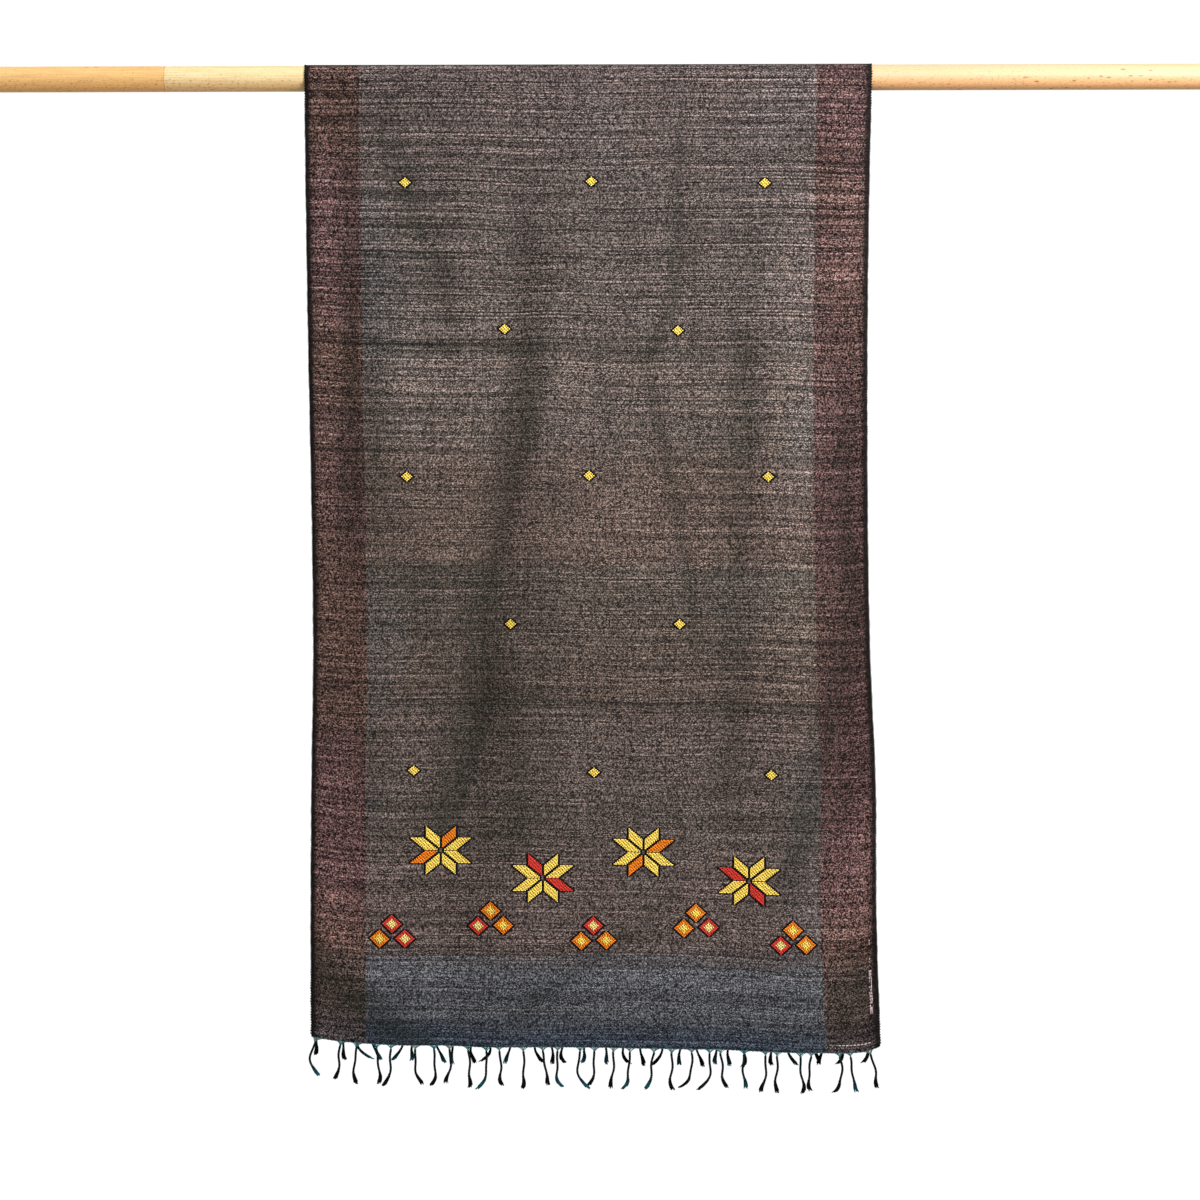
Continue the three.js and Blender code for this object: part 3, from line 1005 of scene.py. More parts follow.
FRONT = Drop(
    side=-1,
    length=943,
    left=(
        (0, -277), (120, -276), (260, -274), (430, -271),
        (560, -270), (690, -272), (820, -273), (950, -273),
    ),
    right=(
        (0, 273), (120, 270), (260, 268), (430, 268),
        (560, 270), (690, 275), (820, 275), (950, 279),
    ),
    hem=((0, 931), (0.06, 936), (0.18, 940), (0.5, 942), (0.72, 945), (0.9, 948), (0.97, 947), (1, 941)),
    folds=(
        Fold(-242, 12, 20, -3, 60, 960),
        Fold(-202, 4, 26, 3.5, 90, 900),
        Fold(-156, -14, 26, -4, 10, 330),
        Fold(-54, -92, 25, -7, 40, 1100),
        Fold(-12, -76, 30, 4.5, 60, 1100),
        Fold(62, -8, 22, -4, 240, 640),
        Fold(92, 0, 13, -3.5, 60, 620),
        Fold(146, -26, 25, -5, 200, 1100),
        Fold(194, 2, 22, 4, 60, 1000),
        Fold(243, -4, 18, -4, 200, 860),
        Fold(266, 14, 10, 6, 720, 1200),
    ),
    # Besides its height, each crease carries a painted shade, or below 0 a painted highlight.
    creases=(
        Crease(((60, -70), (170, -69), (228, -64), (286, -56)), 16, 12, -0.8, 0.16),
        Crease(
            (
                (270, -55), (354, -64), (402, -79), (470, -94),
                (528, -106), (606, -106), (664, -120), (735, -144),
            ),
            28, 12, -2.0, 0.60,
        ),
        Crease(((540, -92), (606, -82), (680, -74), (760, -72)), 17, 15, -0.8, 0.44),
        Crease(((380, -34), (460, -44), (620, -52), (730, -50)), 22, 22, -0.3, 0.30),
        Crease(((590, -116), (650, -124), (710, -140), (770, -152)), 24, 22, -0.6, 0.30),
        Crease(((600, -108), (680, -108), (740, -104)), 30, 26, -0.4, 0.22),
        Crease(((40, 86), (130, 84), (243, 82)), 8, 6, -0.7, 0.48),
        Crease(
            ((200, 78), (245, 66), (285, 54), (330, 61), (392, 76), (489, 91), (540, 97)),
            6, 10, -0.7, 0.44,
        ),
        Crease(((110, 150), (180, 154), (260, 146), (320, 150), (380, 146)), 20, 18, -0.5, 0.20),
        Crease(((250, 146), (343, 150), (430, 142), (528, 136), (663, 132), (720, 128)), 21, 18, -0.8, 0.34),
        Crease(((33, -202), (100, -182), (160, -166)), 15, 13, -0.7, 0.48),
        Crease(((170, -149), (232, -136)), 11, 12, -0.6, 0.44),
        Crease(((0, -184), (130, -184), (270, -204)), 44, 60, 0.3, 0.22),
        Crease(((300, -161), (345, -157)), 7, 8, -0.7, 0.28),
        Crease(((545, 244), (586, 241), (640, 230), (690, 214), (740, 202), (790, 188)), 16, 17, -0.9, 0.50),
        Crease(((782, -306), (860, -262), (895, -226), (922, -188), (1000, -90)), 52, 20, -1.2, 0.66),
        Crease(((800, 76), (828, 44), (862, -2), (896, -52), (930, -84)), 18, 10, -0.7, 0.36),
        Crease(((830, 276), (865, 262), (895, 250), (930, 240)), 22, 36, 0.6, 0.46),
        Crease(((70, -231), (180, -232), (300, -233), (400, -238), (470, -240)), 15, 8, -0.6, 0.36),
        Crease(((80, -256), (220, -257), (330, -253), (450, -255)), 12, 11, 0.4, -0.24),
        Crease(((770, -262), (850, -256), (890, -256)), 30, 34, 0.4, -0.40),
        Crease(((315, 254), (380, 246), (440, 248), (500, 256), (545, 260)), 14, 9, -0.6, 0.46),
        Crease(((0, 240), (90, 250), (205, 246)), 24, 24, 0.4, -0.36),
        Crease(((690, 268), (800, 262), (860, 262)), 24, 30, 0.4, -0.40),
        Crease(((400, -170), (480, -176), (560, -150)), 40, 44, 0.3, 0.26),
        Crease(((150, 190), (300, 188), (620, 186)), 34, 30, 0.4, -0.26),
        Crease(((395, 4), (480, -8), (560, -16)), 36, 40, 0.8, -0.06),
        Crease(((270, -176), (310, -164), (340, -168)), 24, 34, 0.6, -0.18),
        Crease(((305, -212), (390, -210), (440, -204)), 26, 24, -0.3, 0.44),
        Crease(((640, -212), (710, -208)), 26, 24, -0.3, 0.30),
        Crease(((570, -250), (640, -248)), 24, 16, -0.3, 0.24),
        Crease(((650, 262), (700, 246), (750, 228)), 24, 22, -0.4, 0.32),
        Crease(((440, 72), (490, 78)), 40, 36, 0.3, -0.34),
        Crease(((740, -212), (800, -210), (850, -206)), 26, 24, 0.3, -0.20),
    ),
    seed=1,
)
BACK = Drop(
    side=1,
    length=922,
    left=((0, -277), (150, -275), (350, -271), (550, -269), (750, -271), (930, -272)),
    right=((0, 273), (150, 271), (350, 269), (550, 268), (750, 270), (930, 272)),
    hem=((0, 914), (0.08, 919), (0.3, 922), (0.8, 924), (1, 921)),
    folds=(
        Fold(-236, -8, 19, 4, 80, 1000),
        Fold(-188, 10, 24, -4, 130, 1100),
        Fold(-120, 16, 28, 4.5, 50, 800),
        Fold(-58, 34, 22, -5, 60, 1100),
        Fold(30, 10, 30, 3.5, 260, 1100),
        Fold(104, 24, 24, -6, 40, 1100),
        Fold(168, -6, 20, 4, 90, 700),
        Fold(226, 8, 20, -3.5, 150, 1000),
    ),
    # Besides its height, each crease carries a painted shade.
    creases=(
        Crease(((120, 96), (240, 104), (360, 122), (520, 128), (700, 140)), 12, 22, -1.8, 0.36),
        Crease(((60, -120), (180, -112), (300, -128), (420, -131)), 10, 9, -0.8, 0.20),
        Crease(((380, -36), (500, -24), (640, -40), (760, -34)), 15, 9, -1.0, 0.24),
        Crease(((80, 198), (200, 192), (330, 206)), 9, 12, -0.7, 0.18),
        Crease(((560, 214), (660, 198), (740, 172)), 13, 15, -0.8, 0.22),
        Crease(((480, -196), (600, -206), (720, -188)), 12, 14, -0.8, 0.20),
        Crease(((820, 232), (860, 214), (895, 176)), 12, 26, -1.0, 0.30),
        Crease(((790, -120), (850, -96), (900, -60)), 14, 12, -0.7, 0.18),
    ),
    seed=2,
)
CLOTH = DrapedCloth(front=FRONT, back=BACK)


# ---------------- inlaid motifs


@dataclass(frozen=True)
class Pass:
    """One stretch of inlaid thread, in millimetres from a motif's middle."""

    row: float  # down the cloth
    start: float
    end: float
    yarn: Yarn


@dataclass(frozen=True)
class InlayWork:
    """Motifs laid in by hand while the cloth was woven, as rows of short raised threads."""

    cloth: DrapedCloth
    pitch: float = 1.35  # from one row of inlay to the next
    float_length: float = 3.4  # longest thread before it dips under a warp
    dip: float = 0.7  # length over which a thread dips
    thread_height: float = 0.42
    rim: float = 1.7  # how far the painted shadow rim reaches beside a motif
    shadow_rim_piece: float = 6.0  # longest straight piece of it
    shadow_rim_half: float = 2.15  # half its width
    shadow_rim_sunk: float = -0.16  # how much lower it lies than the other threads
    lap: float = 0.3  # of each piece of it past its share
    star_size: tuple[float, float] = (62.0, 50.0)  # width and height
    row_spacing: float = 143.0  # of the small diamonds, down the cloth
    first_row: float = 103.0  # of them, below the turn
    shortest: float = 0.9  # length under which a thread is left out
    gap: float = 1.7  # between two petals of a star
    core: float = 0.56  # share of a diamond's width that its core takes
    least_core: float = 0.5  # half width under which there is none
    taper: float = 0.7  # rows past the last one at which a diamond would end in a point
    stations: int = 5  # rings of points along a thread

    def diamond(
        self, half_rows: int, half_width: float, outer: Yarn, inner: Yarn | None = None
    ) -> list[Pass]:
        """A diamond, with a smaller one of another colour inside it if one is named.

        Args:
            half_rows: rows above or below the middle one.
            half_width: its half width in the middle row.
            outer: colour of the whole diamond or its rim.
            inner: colour of the middle, or none.

        Returns:
            Its passes of thread.
        """
        passes = []
        for row in range(-half_rows, half_rows + 1):
            slant = abs(row) / (half_rows + self.taper)
            reach = half_width * (1 - slant)
            core = half_width * (self.core - slant) if inner else 0
            spans = [(-reach, reach, outer)]
            if core > self.least_core:
                spans = [(-reach, -core, outer), (-core, core, inner), (core, reach, outer)]
            passes += [Pass(row * self.pitch, *span) for span in spans]
        return passes

    def star(self, accents: dict[int, Yarn]) -> list[Pass]:
        """An eight-petalled star of slanting lozenges, two in each quarter.

        With u the star's quarter width and v its quarter height, the flat petal of a
        quarter spans u y/v to u (y/v + 1) at a height y below v, and the upright one spans
        0 to u y/v there and u (y/v - 1) to u above v. A gap is left round each petal.

        Args:
            accents: colours of single petals, numbered 0 to 7 clockwise from the top right.

        Returns:
            Its passes of thread.
        """
        gap, wide, tall = self.gap, self.star_size[0] / 4, self.star_size[1] / 4
        passes = []
        rows = int(2 * tall / self.pitch)
        for quarter, (flip_x, flip_y) in enumerate(((1, 1), (1, -1), (-1, -1), (-1, 1))):
            upright, flat = (0, 1) if quarter % 2 == 0 else (1, 0)
            colours = [accents.get(2 * quarter + place, Yarn.YELLOW) for place in (upright, flat)]
            for row in range(rows):
                y = (row + 0.75) * self.pitch
                slope = wide * y / tall
                spans = [
                    (gap / 2, slope - gap, colours[0]),
                    (slope + gap, slope + wide - gap / 2, colours[1]),
                ]
                if y > tall:
                    spans = [(slope - wide + gap / 2, wide - gap / 2, colours[0])]
                for start, end, yarn in spans:
                    if end - start > self.shortest:
                        passes.append(Pass(-flip_y * y, *sorted((flip_x * start, flip_x * end)), yarn))
        return passes

    def field_diamonds(self, drop: Drop) -> list[tuple[float, float, list[Pass]]]:
        """Small diamonds in a half-drop repeat: three in a row, then two between them."""
        placed = []
        motif = self.diamond(3, 5.7, Yarn.YELLOW)
        for row in range(5):
            columns = (-177, 1, 174) if row % 2 == 0 else (-80, 91)
            for number, x in enumerate(columns):
                index = 7 * row + number
                shift = 3.5 * uneven(index, drop.seed + 21)
                down = self.first_row + self.row_spacing * row + 1.5 * uneven(index, drop.seed + 22)
                placed.append((x + shift, down, motif))
        return placed

    def end_band(self, drop: Drop) -> list[tuple[float, float, list[Pass]]]:
        """Four stars, high and low in turn, and diamonds in threes below and between them."""
        placed = []
        stars = (  # x, height above the hem, and the petals that differ
            (-150, 190, {0: Yarn.ORANGE, 5: Yarn.ORANGE}),
            (-50, 164, {2: Yarn.RED, 7: Yarn.RED}),
            (50, 190, {1: Yarn.ORANGE, 4: Yarn.ORANGE}),
            (150, 164, {3: Yarn.RED, 6: Yarn.RED}),
        )
        for number, (x, up, accents) in enumerate(stars):
            placed.append((x + 2 * uneven(number, drop.seed + 31), drop.length - up, self.star(accents)))
        trio = ((0, 0), (-12, 15), (12.5, 14))
        rims = (Yarn.RED, Yarn.ORANGE, Yarn.RED, Yarn.ORANGE, Yarn.ORANGE)
        for group, (x, up) in enumerate(((-196, 118), (-100, 132), (0, 118), (100, 132), (194, 118))):
            for number, (aside, down) in enumerate(trio):
                rim = rims[(group + number) % len(rims)]
                core = Yarn.GOLD if rim is Yarn.RED else Yarn.YELLOW
                placed.append((x + aside, drop.length - up + down, self.diamond(6, 9.6, rim, core)))
        return placed

    def cuts(self, one: Pass, x: float, down: float) -> list[Stretch]:
        """A pass cut into floats, as in a five-step satin: start, end and depth of each."""
        step = 2 * round(one.row / self.pitch) % 5 / 5
        ties = (np.arange(-9, 10) + step) * self.float_length
        inner = ties[(ties > one.start + self.shortest) & (ties < one.end - self.shortest)]
        ends = x + np.concatenate([[one.start], inner, [one.end]])
        return [(start, end, down + one.row) for start, end in zip(ends, ends[1:])]

    def ground(self, x: float, down: float, passes: list[Pass]) -> list[Stretch]:
        """The painted shadow round a motif: dark strips under and beside its threads, in pieces short enough
        to follow the folds.

        Args:
            x, down: place of the motif's middle.
            passes: its passes of thread.

        Returns:
            Start, end and depth of each piece.
        """
        rows: dict[float, list[list[float]]] = {}
        for one in sorted(passes, key=lambda one: (one.row, one.start)):
            spans = rows.setdefault(one.row, [])
            start, end = one.start - self.rim, one.end + self.rim
            if spans and start <= spans[-1][1]:
                spans[-1][1] = max(spans[-1][1], end)
            else:
                spans.append([start, end])
        pieces = []
        for row, spans in rows.items():
            for start, end in spans:
                count = math.ceil((end - start) / self.shadow_rim_piece)
                edges = x + np.linspace(start, end, count + 1)
                pieces += [(a - self.lap, b + self.lap, down + row) for a, b in zip(edges, edges[1:])]
        return pieces

    def threads(self, drop: Drop) -> Bundle:
        """All the threads of one drop's motifs, as small lens-shaped pads on the cloth, and the painted
        shadow round each motif.
        """
        floats: dict[Yarn, list[Stretch]] = {yarn: [] for yarn in Yarn}
        for x, down, passes in self.field_diamonds(drop) + self.end_band(drop):
            for one in passes:
                floats[one.yarn] += self.cuts(one, x, down)
            # Under and round each motif lies a dark sheet: a painted shadow.
            floats[Yarn.GROUND] += self.ground(x, down, passes)
        bundle = Bundle()
        for yarn, pieces in floats.items():
            if pieces:
                sides, raised, half = 6, 0.0, self.pitch * 0.52
                if yarn is Yarn.GROUND:
                    sides, raised, half = 4, self.shadow_rim_sunk, self.shadow_rim_half
                *made, dipped = self.pads(drop, np.array(pieces), raised, half, sides)
                bundle.add(made, dipped, yarn.value)
        return bundle

    def pads(
        self, drop: Drop, floats: Array, raised: float, half: float, sides: int
    ) -> tuple[Array, Faces, Array]:
        """Short floats: flattened strands that rise from the cloth and dip back.

        A float is full size but for a dip at either end; around it, a point is offset by
        w cos(a) down the cloth and by the height times sin(a) off its face.

        Args:
            drop: the side of the rod.
            floats: one row of start, end and depth for each.
            raised: how far all of them stand above their usual height.
            half: half the width of a float at its middle.
            sides: corners of a section.

        Returns:
            The points and faces of all of them, and how far each point has dipped, which the material paints
            as shade.
        """
        angle = (np.arange(sides) * math.tau / sides)[None, None, :]
        start, end, down = (column[:, None, None] for column in floats.T)
        dip = np.clip(self.dip / (end - start), 0, 0.3)
        share = np.concatenate([0 * dip, dip, 0 * dip + 0.5, 1 - dip, 0 * dip + 1], axis=1)
        swell = np.array([0.42, 1, 1, 1, 0.42])[None, :, None]
        x = start + (end - start) * share + 0 * angle
        along = self.cloth.quarter + down + half * np.sqrt(swell) * np.cos(angle)
        lift = raised + self.thread_height * (swell * np.sin(angle) + 0.25 * swell - 0.2) + 0 * x
        points = self.cloth.on_face(drop, 0.5 + x / self.cloth.width, along, lift)
        one = grid_faces(self.stations, sides, around=True)[:, ::drop.side]
        firsts = (np.arange(len(floats)) * self.stations * sides)[:, None]
        ring = np.arange(sides)[::drop.side]
        caps = np.concatenate([ring[::-1] + firsts, ring + (self.stations - 1) * sides + firsts])
        faces = (one[None] + firsts[:, None]).reshape(-1, 4).tolist() + caps.tolist()
        dipped = (1 - swell) / 0.58 + 0 * x
        return points.reshape(-1, 3), faces, dipped.ravel()

    def build(self, drop: Drop, name: str) -> Piece:
        """The inlay of one drop as one piece."""
        return self.threads(drop).piece(name, *(YARN_FINISHES[yarn].material() for yarn in Yarn))


# ---------------- fringe and selvedges


@dataclass(frozen=True)
class Fringe:
    """The knotted warp ends of one hem, in millimetres."""

    cloth: DrapedCloth
    drop: Drop
    tassels: int
    seed: int
    length: float = 36.0
    length_spread: float = 2.0
    sway: float = 3.0
    lean: float = 4.0
    corner_lean: float = 6.0
    shift: float = 0.27
    hook: float = 9.0  # how far a tip curls aside
    strip: float = 1.5  # how far below the hem a tassel's length is counted from
    gather: float = 6.5  # depth at which the warp ends meet in the cord
    knot: float = 0.75  # share of the length at which the knot sits
    ends: int = 9  # warp ends that show in each web
    end_radius: float = 0.30
    ply_radius: float = 0.84
    ply_offset: float = 0.48  # of a ply from the middle of the cord
    ply_pitch: float = 2.6  # length of cord in which a ply goes round once
    knot_radius: float = 0.6
    knot_turns: float = 2.5
    tuft_ends: int = 22
    tuft_radius: float = 0.50
    tuft_spread: float = 2.15  # from its middle to its outermost end
    tuft_depth: float = 0.7  # share of its width
    golden_angle: float = 2.4  # in radians, from one end to the next
    hem_radius: float = 0.42

    def middle_line(self, tassel: int, root: Array, share: Array) -> Array:
        """The middle of a tassel, at shares s of its length.

        It is root + lean s + sway sin(pi s) + hook s⁵ + 1.5 s sin(9 s + 2.2 tassel) along
        the hem, and 1.2 s² off it.

        Args:
            tassel: its number from the left.
            root: where it starts, in millimetres.
            share: how far down it, from 0 to 1.

        Returns:
            Points in millimetres.
        """
        corner = (tassel == self.tassels - 1) - (tassel == 0)
        lean = self.lean * uneven(tassel, self.seed + 2) + self.corner_lean * corner
        sway = self.sway * uneven(tassel, self.seed + 4)
        length = self.length + self.length_spread * uneven(tassel, self.seed + 6) + self.strip
        hook = self.hook * uneven(tassel, self.seed + 8)
        wave = 1.5 * np.sin(share * 9 + 2.2 * tassel)
        x = root[0] + lean * share + sway * np.sin(math.pi * share) + hook * share**5 + wave * share
        y = root[1] + 1.2 * uneven(tassel, self.seed + 9) * share**2
        return np.stack([x, y, root[2] - length * share], axis=-1)

    def hem_point(self, share: Array) -> Array:
        """The middle of the hem at a share of the width, in millimetres."""
        return self.cloth.place(self.drop, share, self.cloth.quarter + self.drop.length)

    def teal_share(self, tassel: int) -> float:
        """How teal a tassel's tip is: most are dark, and about one in four is dyed."""
        return float(rise(0.35, 0.75, uneven(tassel, self.seed + 15)))

    def web(self, tassel: int, place: float, root: Array) -> Shape:
        """Warp ends that leave the hem and bend down into the cord, on quarter ellipses."""
        spread = np.linspace(-0.5, 0.5, self.ends) / self.tassels
        starts = self.hem_point(np.clip(place + spread, 0.001, 0.999))
        share = self.gather / self.length * (0.8 + 0.25 * uneven(np.arange(self.ends), tassel + 0.5))
        meet = self.middle_line(tassel, root, share)
        turn = np.linspace(0, math.pi / 2, 7)
        aside, down = 1 - np.sin(turn), np.cos(turn)
        way = (starts + (0, 0, 0.4) - meet)[:, None] * np.stack([aside, aside, down], axis=-1)
        return strands((meet[:, None] + way) * MM, self.end_radius * MM, 4)

    def twisted_cord(self, tassel: int, root: Array) -> Shape:
        """Two plies wound about the tassel's middle line, from the web to the knot."""
        share = np.linspace(self.gather / self.length * 0.62, self.knot, 64)
        line = self.middle_line(tassel, root, share)
        turn = share * self.length / self.ply_pitch * math.tau
        plies = [line + sign * self.ply_offset * round_about(turn) for sign in (1, -1)]
        return strands(np.array(plies) * MM, self.ply_radius * MM, 5)

    def knotted(self, tassel: int, root: Array) -> Shape:
        """Two and a half fat turns of thread round the cord."""
        turn = np.linspace(0, self.knot_turns, 24)
        line = self.middle_line(tassel, root, self.knot + (turn - self.knot_turns / 2) / self.length)
        swell = np.sin(math.pi * np.linspace(0.12, 0.88, 24))[:, None]
        path = line + round_about(turn * math.tau) * swell
        return strands(path[None] * MM, self.knot_radius * MM, 5)

    def tuft(self, tassel: int, root: Array) -> Shape:
        """Loose ends below the knot, in a bundle that widens like a brush to its cut tips."""
        number = np.arange(self.tuft_ends)
        reach = self.tuft_spread * np.sqrt((number + 0.5) / self.tuft_ends)
        share = np.linspace(0, 1, 6)[None, :]
        flare = 0.34 + 0.68 * share**0.6
        tips = 1 + 0.045 * uneven(number, tassel + 0.3)[:, None]
        line = self.middle_line(tassel, root, self.knot + (tips - self.knot) * share)
        aside = round_about(number * self.golden_angle) * reach[:, None] * (1, self.tuft_depth, 1)
        paths = line + aside[:, None, :] * flare[..., None]
        return strands(paths * MM, self.tuft_radius * MM * (1 - 0.15 * share), 3)

    def hem_thread(self) -> Shape:
        """The last thread of the weft, which runs along the hem."""
        share = np.linspace(0.002, 0.998, 360)
        line = self.hem_point(share)
        line[:, 2] -= 0.25 + 0.25 * np.sin(share * 900)
        return strands(line[None] * MM, self.hem_radius * MM, 5)

    def build(self, name: str) -> Piece:
        """The whole fringe as one piece."""
        bundle = Bundle()
        bundle.add(self.hem_thread(), 1.5)
        # The teal deepens down each of a tuft's ends, which have six rings of three points.
        tips = np.tile(np.repeat(np.linspace(0.1, 1.0, 6) ** 1.5, 3), self.tuft_ends)
        for tassel in range(self.tassels):
            place = (tassel + 0.5 + self.shift * float(uneven(tassel, self.seed))) / self.tassels
            root = self.hem_point(np.array(place))
            teal = self.teal_share(tassel)
            bundle.add(self.web(tassel, place, root), 0.9 + 0.9 * abs(float(uneven(tassel, 3.3))))
            bundle.add(self.twisted_cord(tassel, root), 0.04)
            bundle.add(self.knotted(tassel, root), 0.3 * teal)
            bundle.add(self.tuft(tassel, root), teal * tips)
        return bundle.piece(name, FringeSilk().material())


@dataclass(frozen=True)
class Selvedges:
    """The weft's turns round the outermost warp, as small loops down both edges."""

    cloth: DrapedCloth
    pitch: float = 2.6
    radius: float = 0.5

    def build(self) -> Piece:
        """Both selvedges as one piece: each loop is a half ring round the cloth's rim."""
        bundle = Bundle()
        angle = np.linspace(-math.pi / 2, math.pi / 2, 5)
        for drop in (self.cloth.front, self.cloth.back):
            along = np.arange(0.6, self.cloth.quarter + drop.length - 1, self.pitch)
            for edge, outward in ((0.0, -1.0), (1.0, 1.0)):
                rim = np.full_like(along, edge)
                middle = self.cloth.place(drop, rim, along)
                normal = self.cloth.normal(drop, rim, along)
                reach = 0.55 + 0.2 * uneven(np.arange(len(along)), drop.seed + outward)
                over = np.cos(angle)[None, :, None] * reach[:, None, None] - 0.1
                ring = middle[:, None] + np.array([outward, 0.0, 0.0]) * over
                ring = ring + normal[:, None] * np.sin(angle)[None, :, None] * 0.42
                slope = self.cloth.place(drop, rim, along + self.pitch * 0.5) - middle
                paths = ring + slope[:, None] * np.linspace(-0.5, 0.5, 5)[None, :, None]
                bundle.add(strands(paths * MM, self.radius * MM, 4, math.pi / 4))
        return bundle.piece("selvedge_loops", FringeSilk(dark=srgb(13, 10, 11)).material())


@dataclass(frozen=True)
class PaleDots:
    """Pale dots, built as short pale strands, beside the right selvedge and in a row above the hem."""

    cloth: DrapedCloth
    drop: Drop
    inset: float = 7.0  # from the selvedge, and from the hem
    pitch: float = 3.0
    upright: tuple[float, float] = (838.0, 910.0)  # how far down the cloth it shows
    tripled: float = 868.0  # how far down it starts to lie three abreast
    level: tuple[float, float] = (236.0, 268.0)  # x of the stretch beside the hem

    def arched(self, across: Array, along: Array, share: Array) -> Array:
        """Paths in metres that rise from the cloth by 0.30 - 0.45 share² mm."""
        return self.cloth.on_face(self.drop, across, along, 0.30 - 0.45 * share**2 + 0 * along)

    def dots(self, down: Array, aside: float, reach: float) -> Array:
        """Short stretches beside the selvedge, of which about three in ten stay hidden.

        Args:
            down: how far down the cloth the middle of each lies, in millimetres.
            aside: how far they are moved in from the thread's usual place.
            reach: half the usual length of one, as a share of the pitch.

        Returns:
            The paths in metres.
        """
        down = down[uneven(np.arange(len(down)), 8.0 + aside) > -0.4]
        seeds = uneven(np.arange(len(down)), 4.0 + aside)
        share = np.linspace(-1, 1, 5)[None, :]
        along = self.cloth.quarter + down[:, None] + self.pitch * (reach + 0.22 * seeds[:, None]) * share
        return self.arched(1 - (self.inset + aside) / self.cloth.width + 0 * along, along, share)

    def build(self) -> Piece:
        """All its dots as one piece: short strands that rise and dip again."""
        down = np.arange(*self.upright, self.pitch)
        single, tripled = down[down < self.tripled], down[down >= self.tripled]
        upright = [self.dots(single, 0.0, 0.24), *(self.dots(tripled, a, 0.34) for a in (-0.8, 0.0, 0.8))]
        share = np.linspace(-1, 1, 5)[None, :]
        x = np.arange(*self.level, self.pitch * 1.2)
        across = 0.5 + (x[:, None] + 1.1 * share) / self.cloth.width
        along = self.cloth.quarter + self.drop.length - self.inset + 0 * across
        paths = np.concatenate([*upright, self.arched(across, along, share)])
        radii = 0.44 + 0.20 * uneven(np.arange(len(paths)), 9.0)
        bundle = Bundle()
        bundle.add(strands(paths, radii[:, None] * MM, 6))
        return bundle.piece("pale_dots", InlaySilk("pale", srgb(206, 184, 188)).material())


# ---------------- rod


@dataclass(frozen=True)
class Rod:
    """The round pine rod, in metres."""

    radius: float = 0.0125
    length: float = 1.22
    chamfer: float = 0.001
    sanding: float = 0.00004
    stations: int = 61
    sides: int = 96

    def build(self) -> Piece:
        """A turned profile with rounded arrises, closed at both ends.

        Between its chamfers the radius shrinks unevenly by up to 0.04 mm, as a sanded
        dowel's does.
        """
        half = self.length / 2 - self.chamfer
        straight = np.linspace(-half, half, self.stations)
        worn = self.radius - self.sanding * (1 + uneven(np.arange(self.stations), 5.0)) / 2
        round_in = np.linspace(0, math.pi / 2, 5)[1:]
        tail_x = half + self.chamfer * np.sin(round_in)
        tail_r = self.radius - self.chamfer + self.chamfer * np.cos(round_in)
        axis = np.concatenate([-tail_x[::-1], straight, tail_x])
        rod = turned("pine_rod", axis, np.concatenate([tail_r[::-1], worn, tail_r]), self.sides)
        rod.data.materials.append(PineRod().material())
        return rod


# ---------------- studio


@dataclass(frozen=True)
class Lamp:
    """A square area lamp that faces the middle of the scarf."""

    name: str
    place: tuple[float, float, float]
    size: float
    power: float
    colour: Colour

    def hang(self) -> None:
        """Puts the lamp in its place, turned towards the scarf."""
        data = bpy.data.lights.new(self.name, "AREA")
        data.shape, data.size = "SQUARE", self.size
        data.energy, data.color = self.power, self.colour
        lamp = bpy.data.objects.new(self.name, data)
        lamp.location = self.place
        towards = np.array([0.0, 0.0, -0.5]) - self.place
        yaw = math.atan2(towards[1], towards[0])
        pitch = math.atan2(math.hypot(towards[0], towards[1]), -towards[2])
        lamp.rotation_euler = (pitch, 0, yaw - math.pi / 2)
        bpy.context.scene.collection.objects.link(lamp)


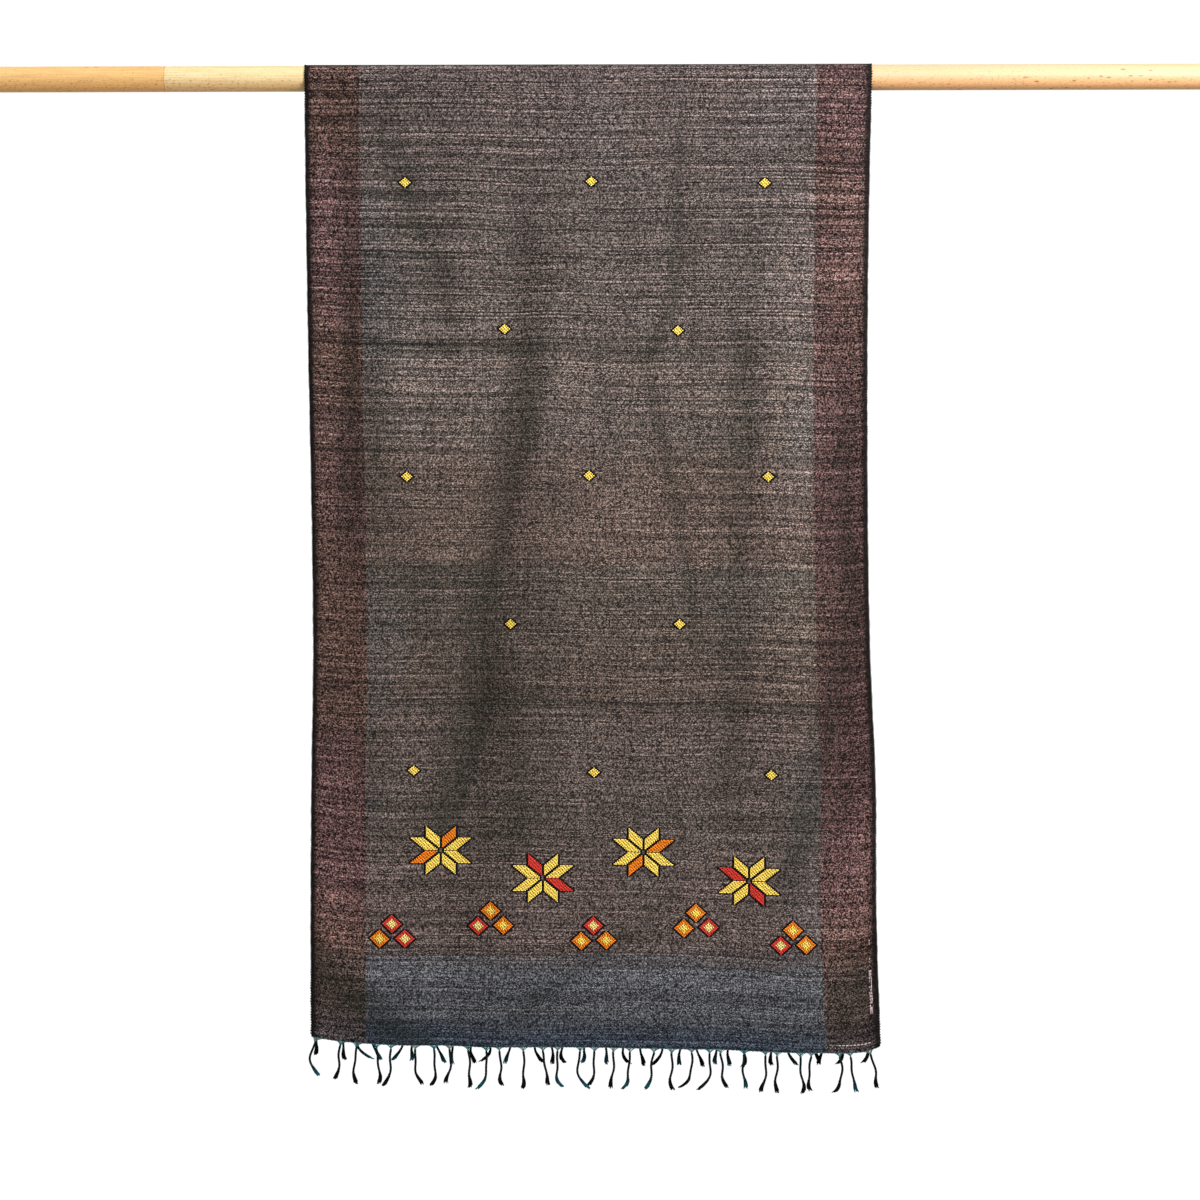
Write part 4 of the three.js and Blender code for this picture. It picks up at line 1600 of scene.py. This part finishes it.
@dataclass(frozen=True)
class Studio:
    """Camera, soft light and pale floor round the part, in metres."""

    pixel: float = 0.00097  # length of one on the front drop
    pixels: int = 1200  # across the view
    middle: tuple[float, float] = (591.5, 76.0)  # the origin, in pixels from the view's top left
    distance: float = 3.2
    drop_plane: float = -0.013  # y of the front drop
    tilt: float = 0.14  # degrees that the rod rises to the right
    sensor: float = 36.0
    floor_height: float = -1.32
    room_light: tuple[float, float] = (0.32, 0.42)  # from below and from above
    wall_light: float = 1.05
    lamps: tuple[Lamp, ...] = (
        Lamp("key", (1.15, -1.25, 0.55), 0.75, 40, (1.0, 0.97, 0.93)),
        Lamp("rod_fill", (-0.85, -0.4, 0.7), 0.4, 2.8, (1.0, 0.98, 0.95)),
        Lamp("back_fill", (-1.5, 2.2, 0.6), 1.2, 25, (0.95, 0.97, 1.0)),
    )

    def camera(self) -> None:
        """A level camera straight in front, as far off as its distance says."""
        data = bpy.data.cameras.new("camera")
        data.sensor_width = self.sensor
        data.lens = self.sensor * self.distance / (self.pixel * self.pixels)
        camera = bpy.data.objects.new("camera", data)
        centre = self.pixels / 2
        x = (centre - self.middle[0]) * self.pixel
        z = (self.middle[1] - centre) * self.pixel
        camera.location = (x, self.drop_plane - self.distance, z)
        camera.rotation_euler = (math.pi / 2, math.radians(self.tilt), 0)
        bpy.context.scene.collection.objects.link(camera)
        bpy.context.scene.camera = camera

    def room(self) -> bpy.types.World:
        """A white wall behind the part, and elsewhere a room that is bright above and dim below."""
        n = Nodes(bpy.data.worlds.new("room"))
        _, y, z = n.parts(n.node("ShaderNodeTexCoord")["Generated"])
        upwards = z.between(-0.7, 0.8, *self.room_light)
        behind = y.between(0.75, 0.93)
        strength = n.node("ShaderNodeMix", None, {0: behind, 2: upwards, 3: self.wall_light})[0]
        glow = n.node("ShaderNodeBackground", None, {"Color": (1.0, 1.0, 1.0), "Strength": strength})
        n.node("ShaderNodeOutputWorld", None, {"Surface": glow["Background"]})
        return n.owner

    def light(self) -> None:
        """The room, a soft key from above on the right, and weak fills on the left and behind."""
        bpy.context.scene.world = self.room()
        for lamp in self.lamps:
            lamp.hang()
        bpy.context.scene.view_settings.view_transform = "Standard"

    def floor(self) -> Piece:
        """A round floor below the scarf, with a soft turned-down edge."""
        radius = np.concatenate([[1.17, 1.165], np.linspace(1.15, 0.02, 24)])
        height = self.floor_height + np.concatenate([[-0.012, -0.004], np.zeros(24)])
        floor = turned("floor", height, radius, 96, upright=True)
        floor.data.materials.append(PlainFloor().material())
        return floor


# ---------------- putting it together


def carry(piece: Piece, slot: str, *nodes: str) -> None:
    """Rides a piece on the part's one body, hides the CAD nodes that it replaces, and logs its faces.

    Args:
        piece: the piece.
        slot: not used.
        nodes: the CAD nodes that it replaces.
    """
    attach(piece, BODY)
    if nodes:
        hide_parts(*nodes)
    LOG.info("%s: %d faces", piece.name, len(piece.data.polygons))


def main() -> None:
    """Builds the scarf, its rod and the studio."""
    logging.basicConfig(level=logging.INFO)
    studio = Studio()
    studio.camera()
    studio.light()
    studio.floor()

    rod = Rod().build()
    carry(rod, "rod_wood", "rod")

    cloth = CLOTH.build()
    carry(cloth, "silk_cloth", "cloth")

    for drop, tassels, seed, name, node in (
        (FRONT, 31, 1, "front_tassels", "front_fringe"),
        (BACK, 30, 2, "back_tassels", "back_fringe"),
    ):
        fringe = Fringe(CLOTH, drop, tassels, seed).build(name)
        carry(fringe, "fringe_silk", node)

    inlay = InlayWork(CLOTH)
    inlays = [inlay.build(FRONT, "front_inlay"), inlay.build(BACK, "back_inlay")]
    for piece in inlays:
        carry(piece, "silk_cloth")

    edges = Selvedges(CLOTH).build()
    pale = PaleDots(CLOTH, FRONT).build()
    for piece in (edges, pale):
        carry(piece, "silk_cloth")


if __name__ == "__main__":
    main()
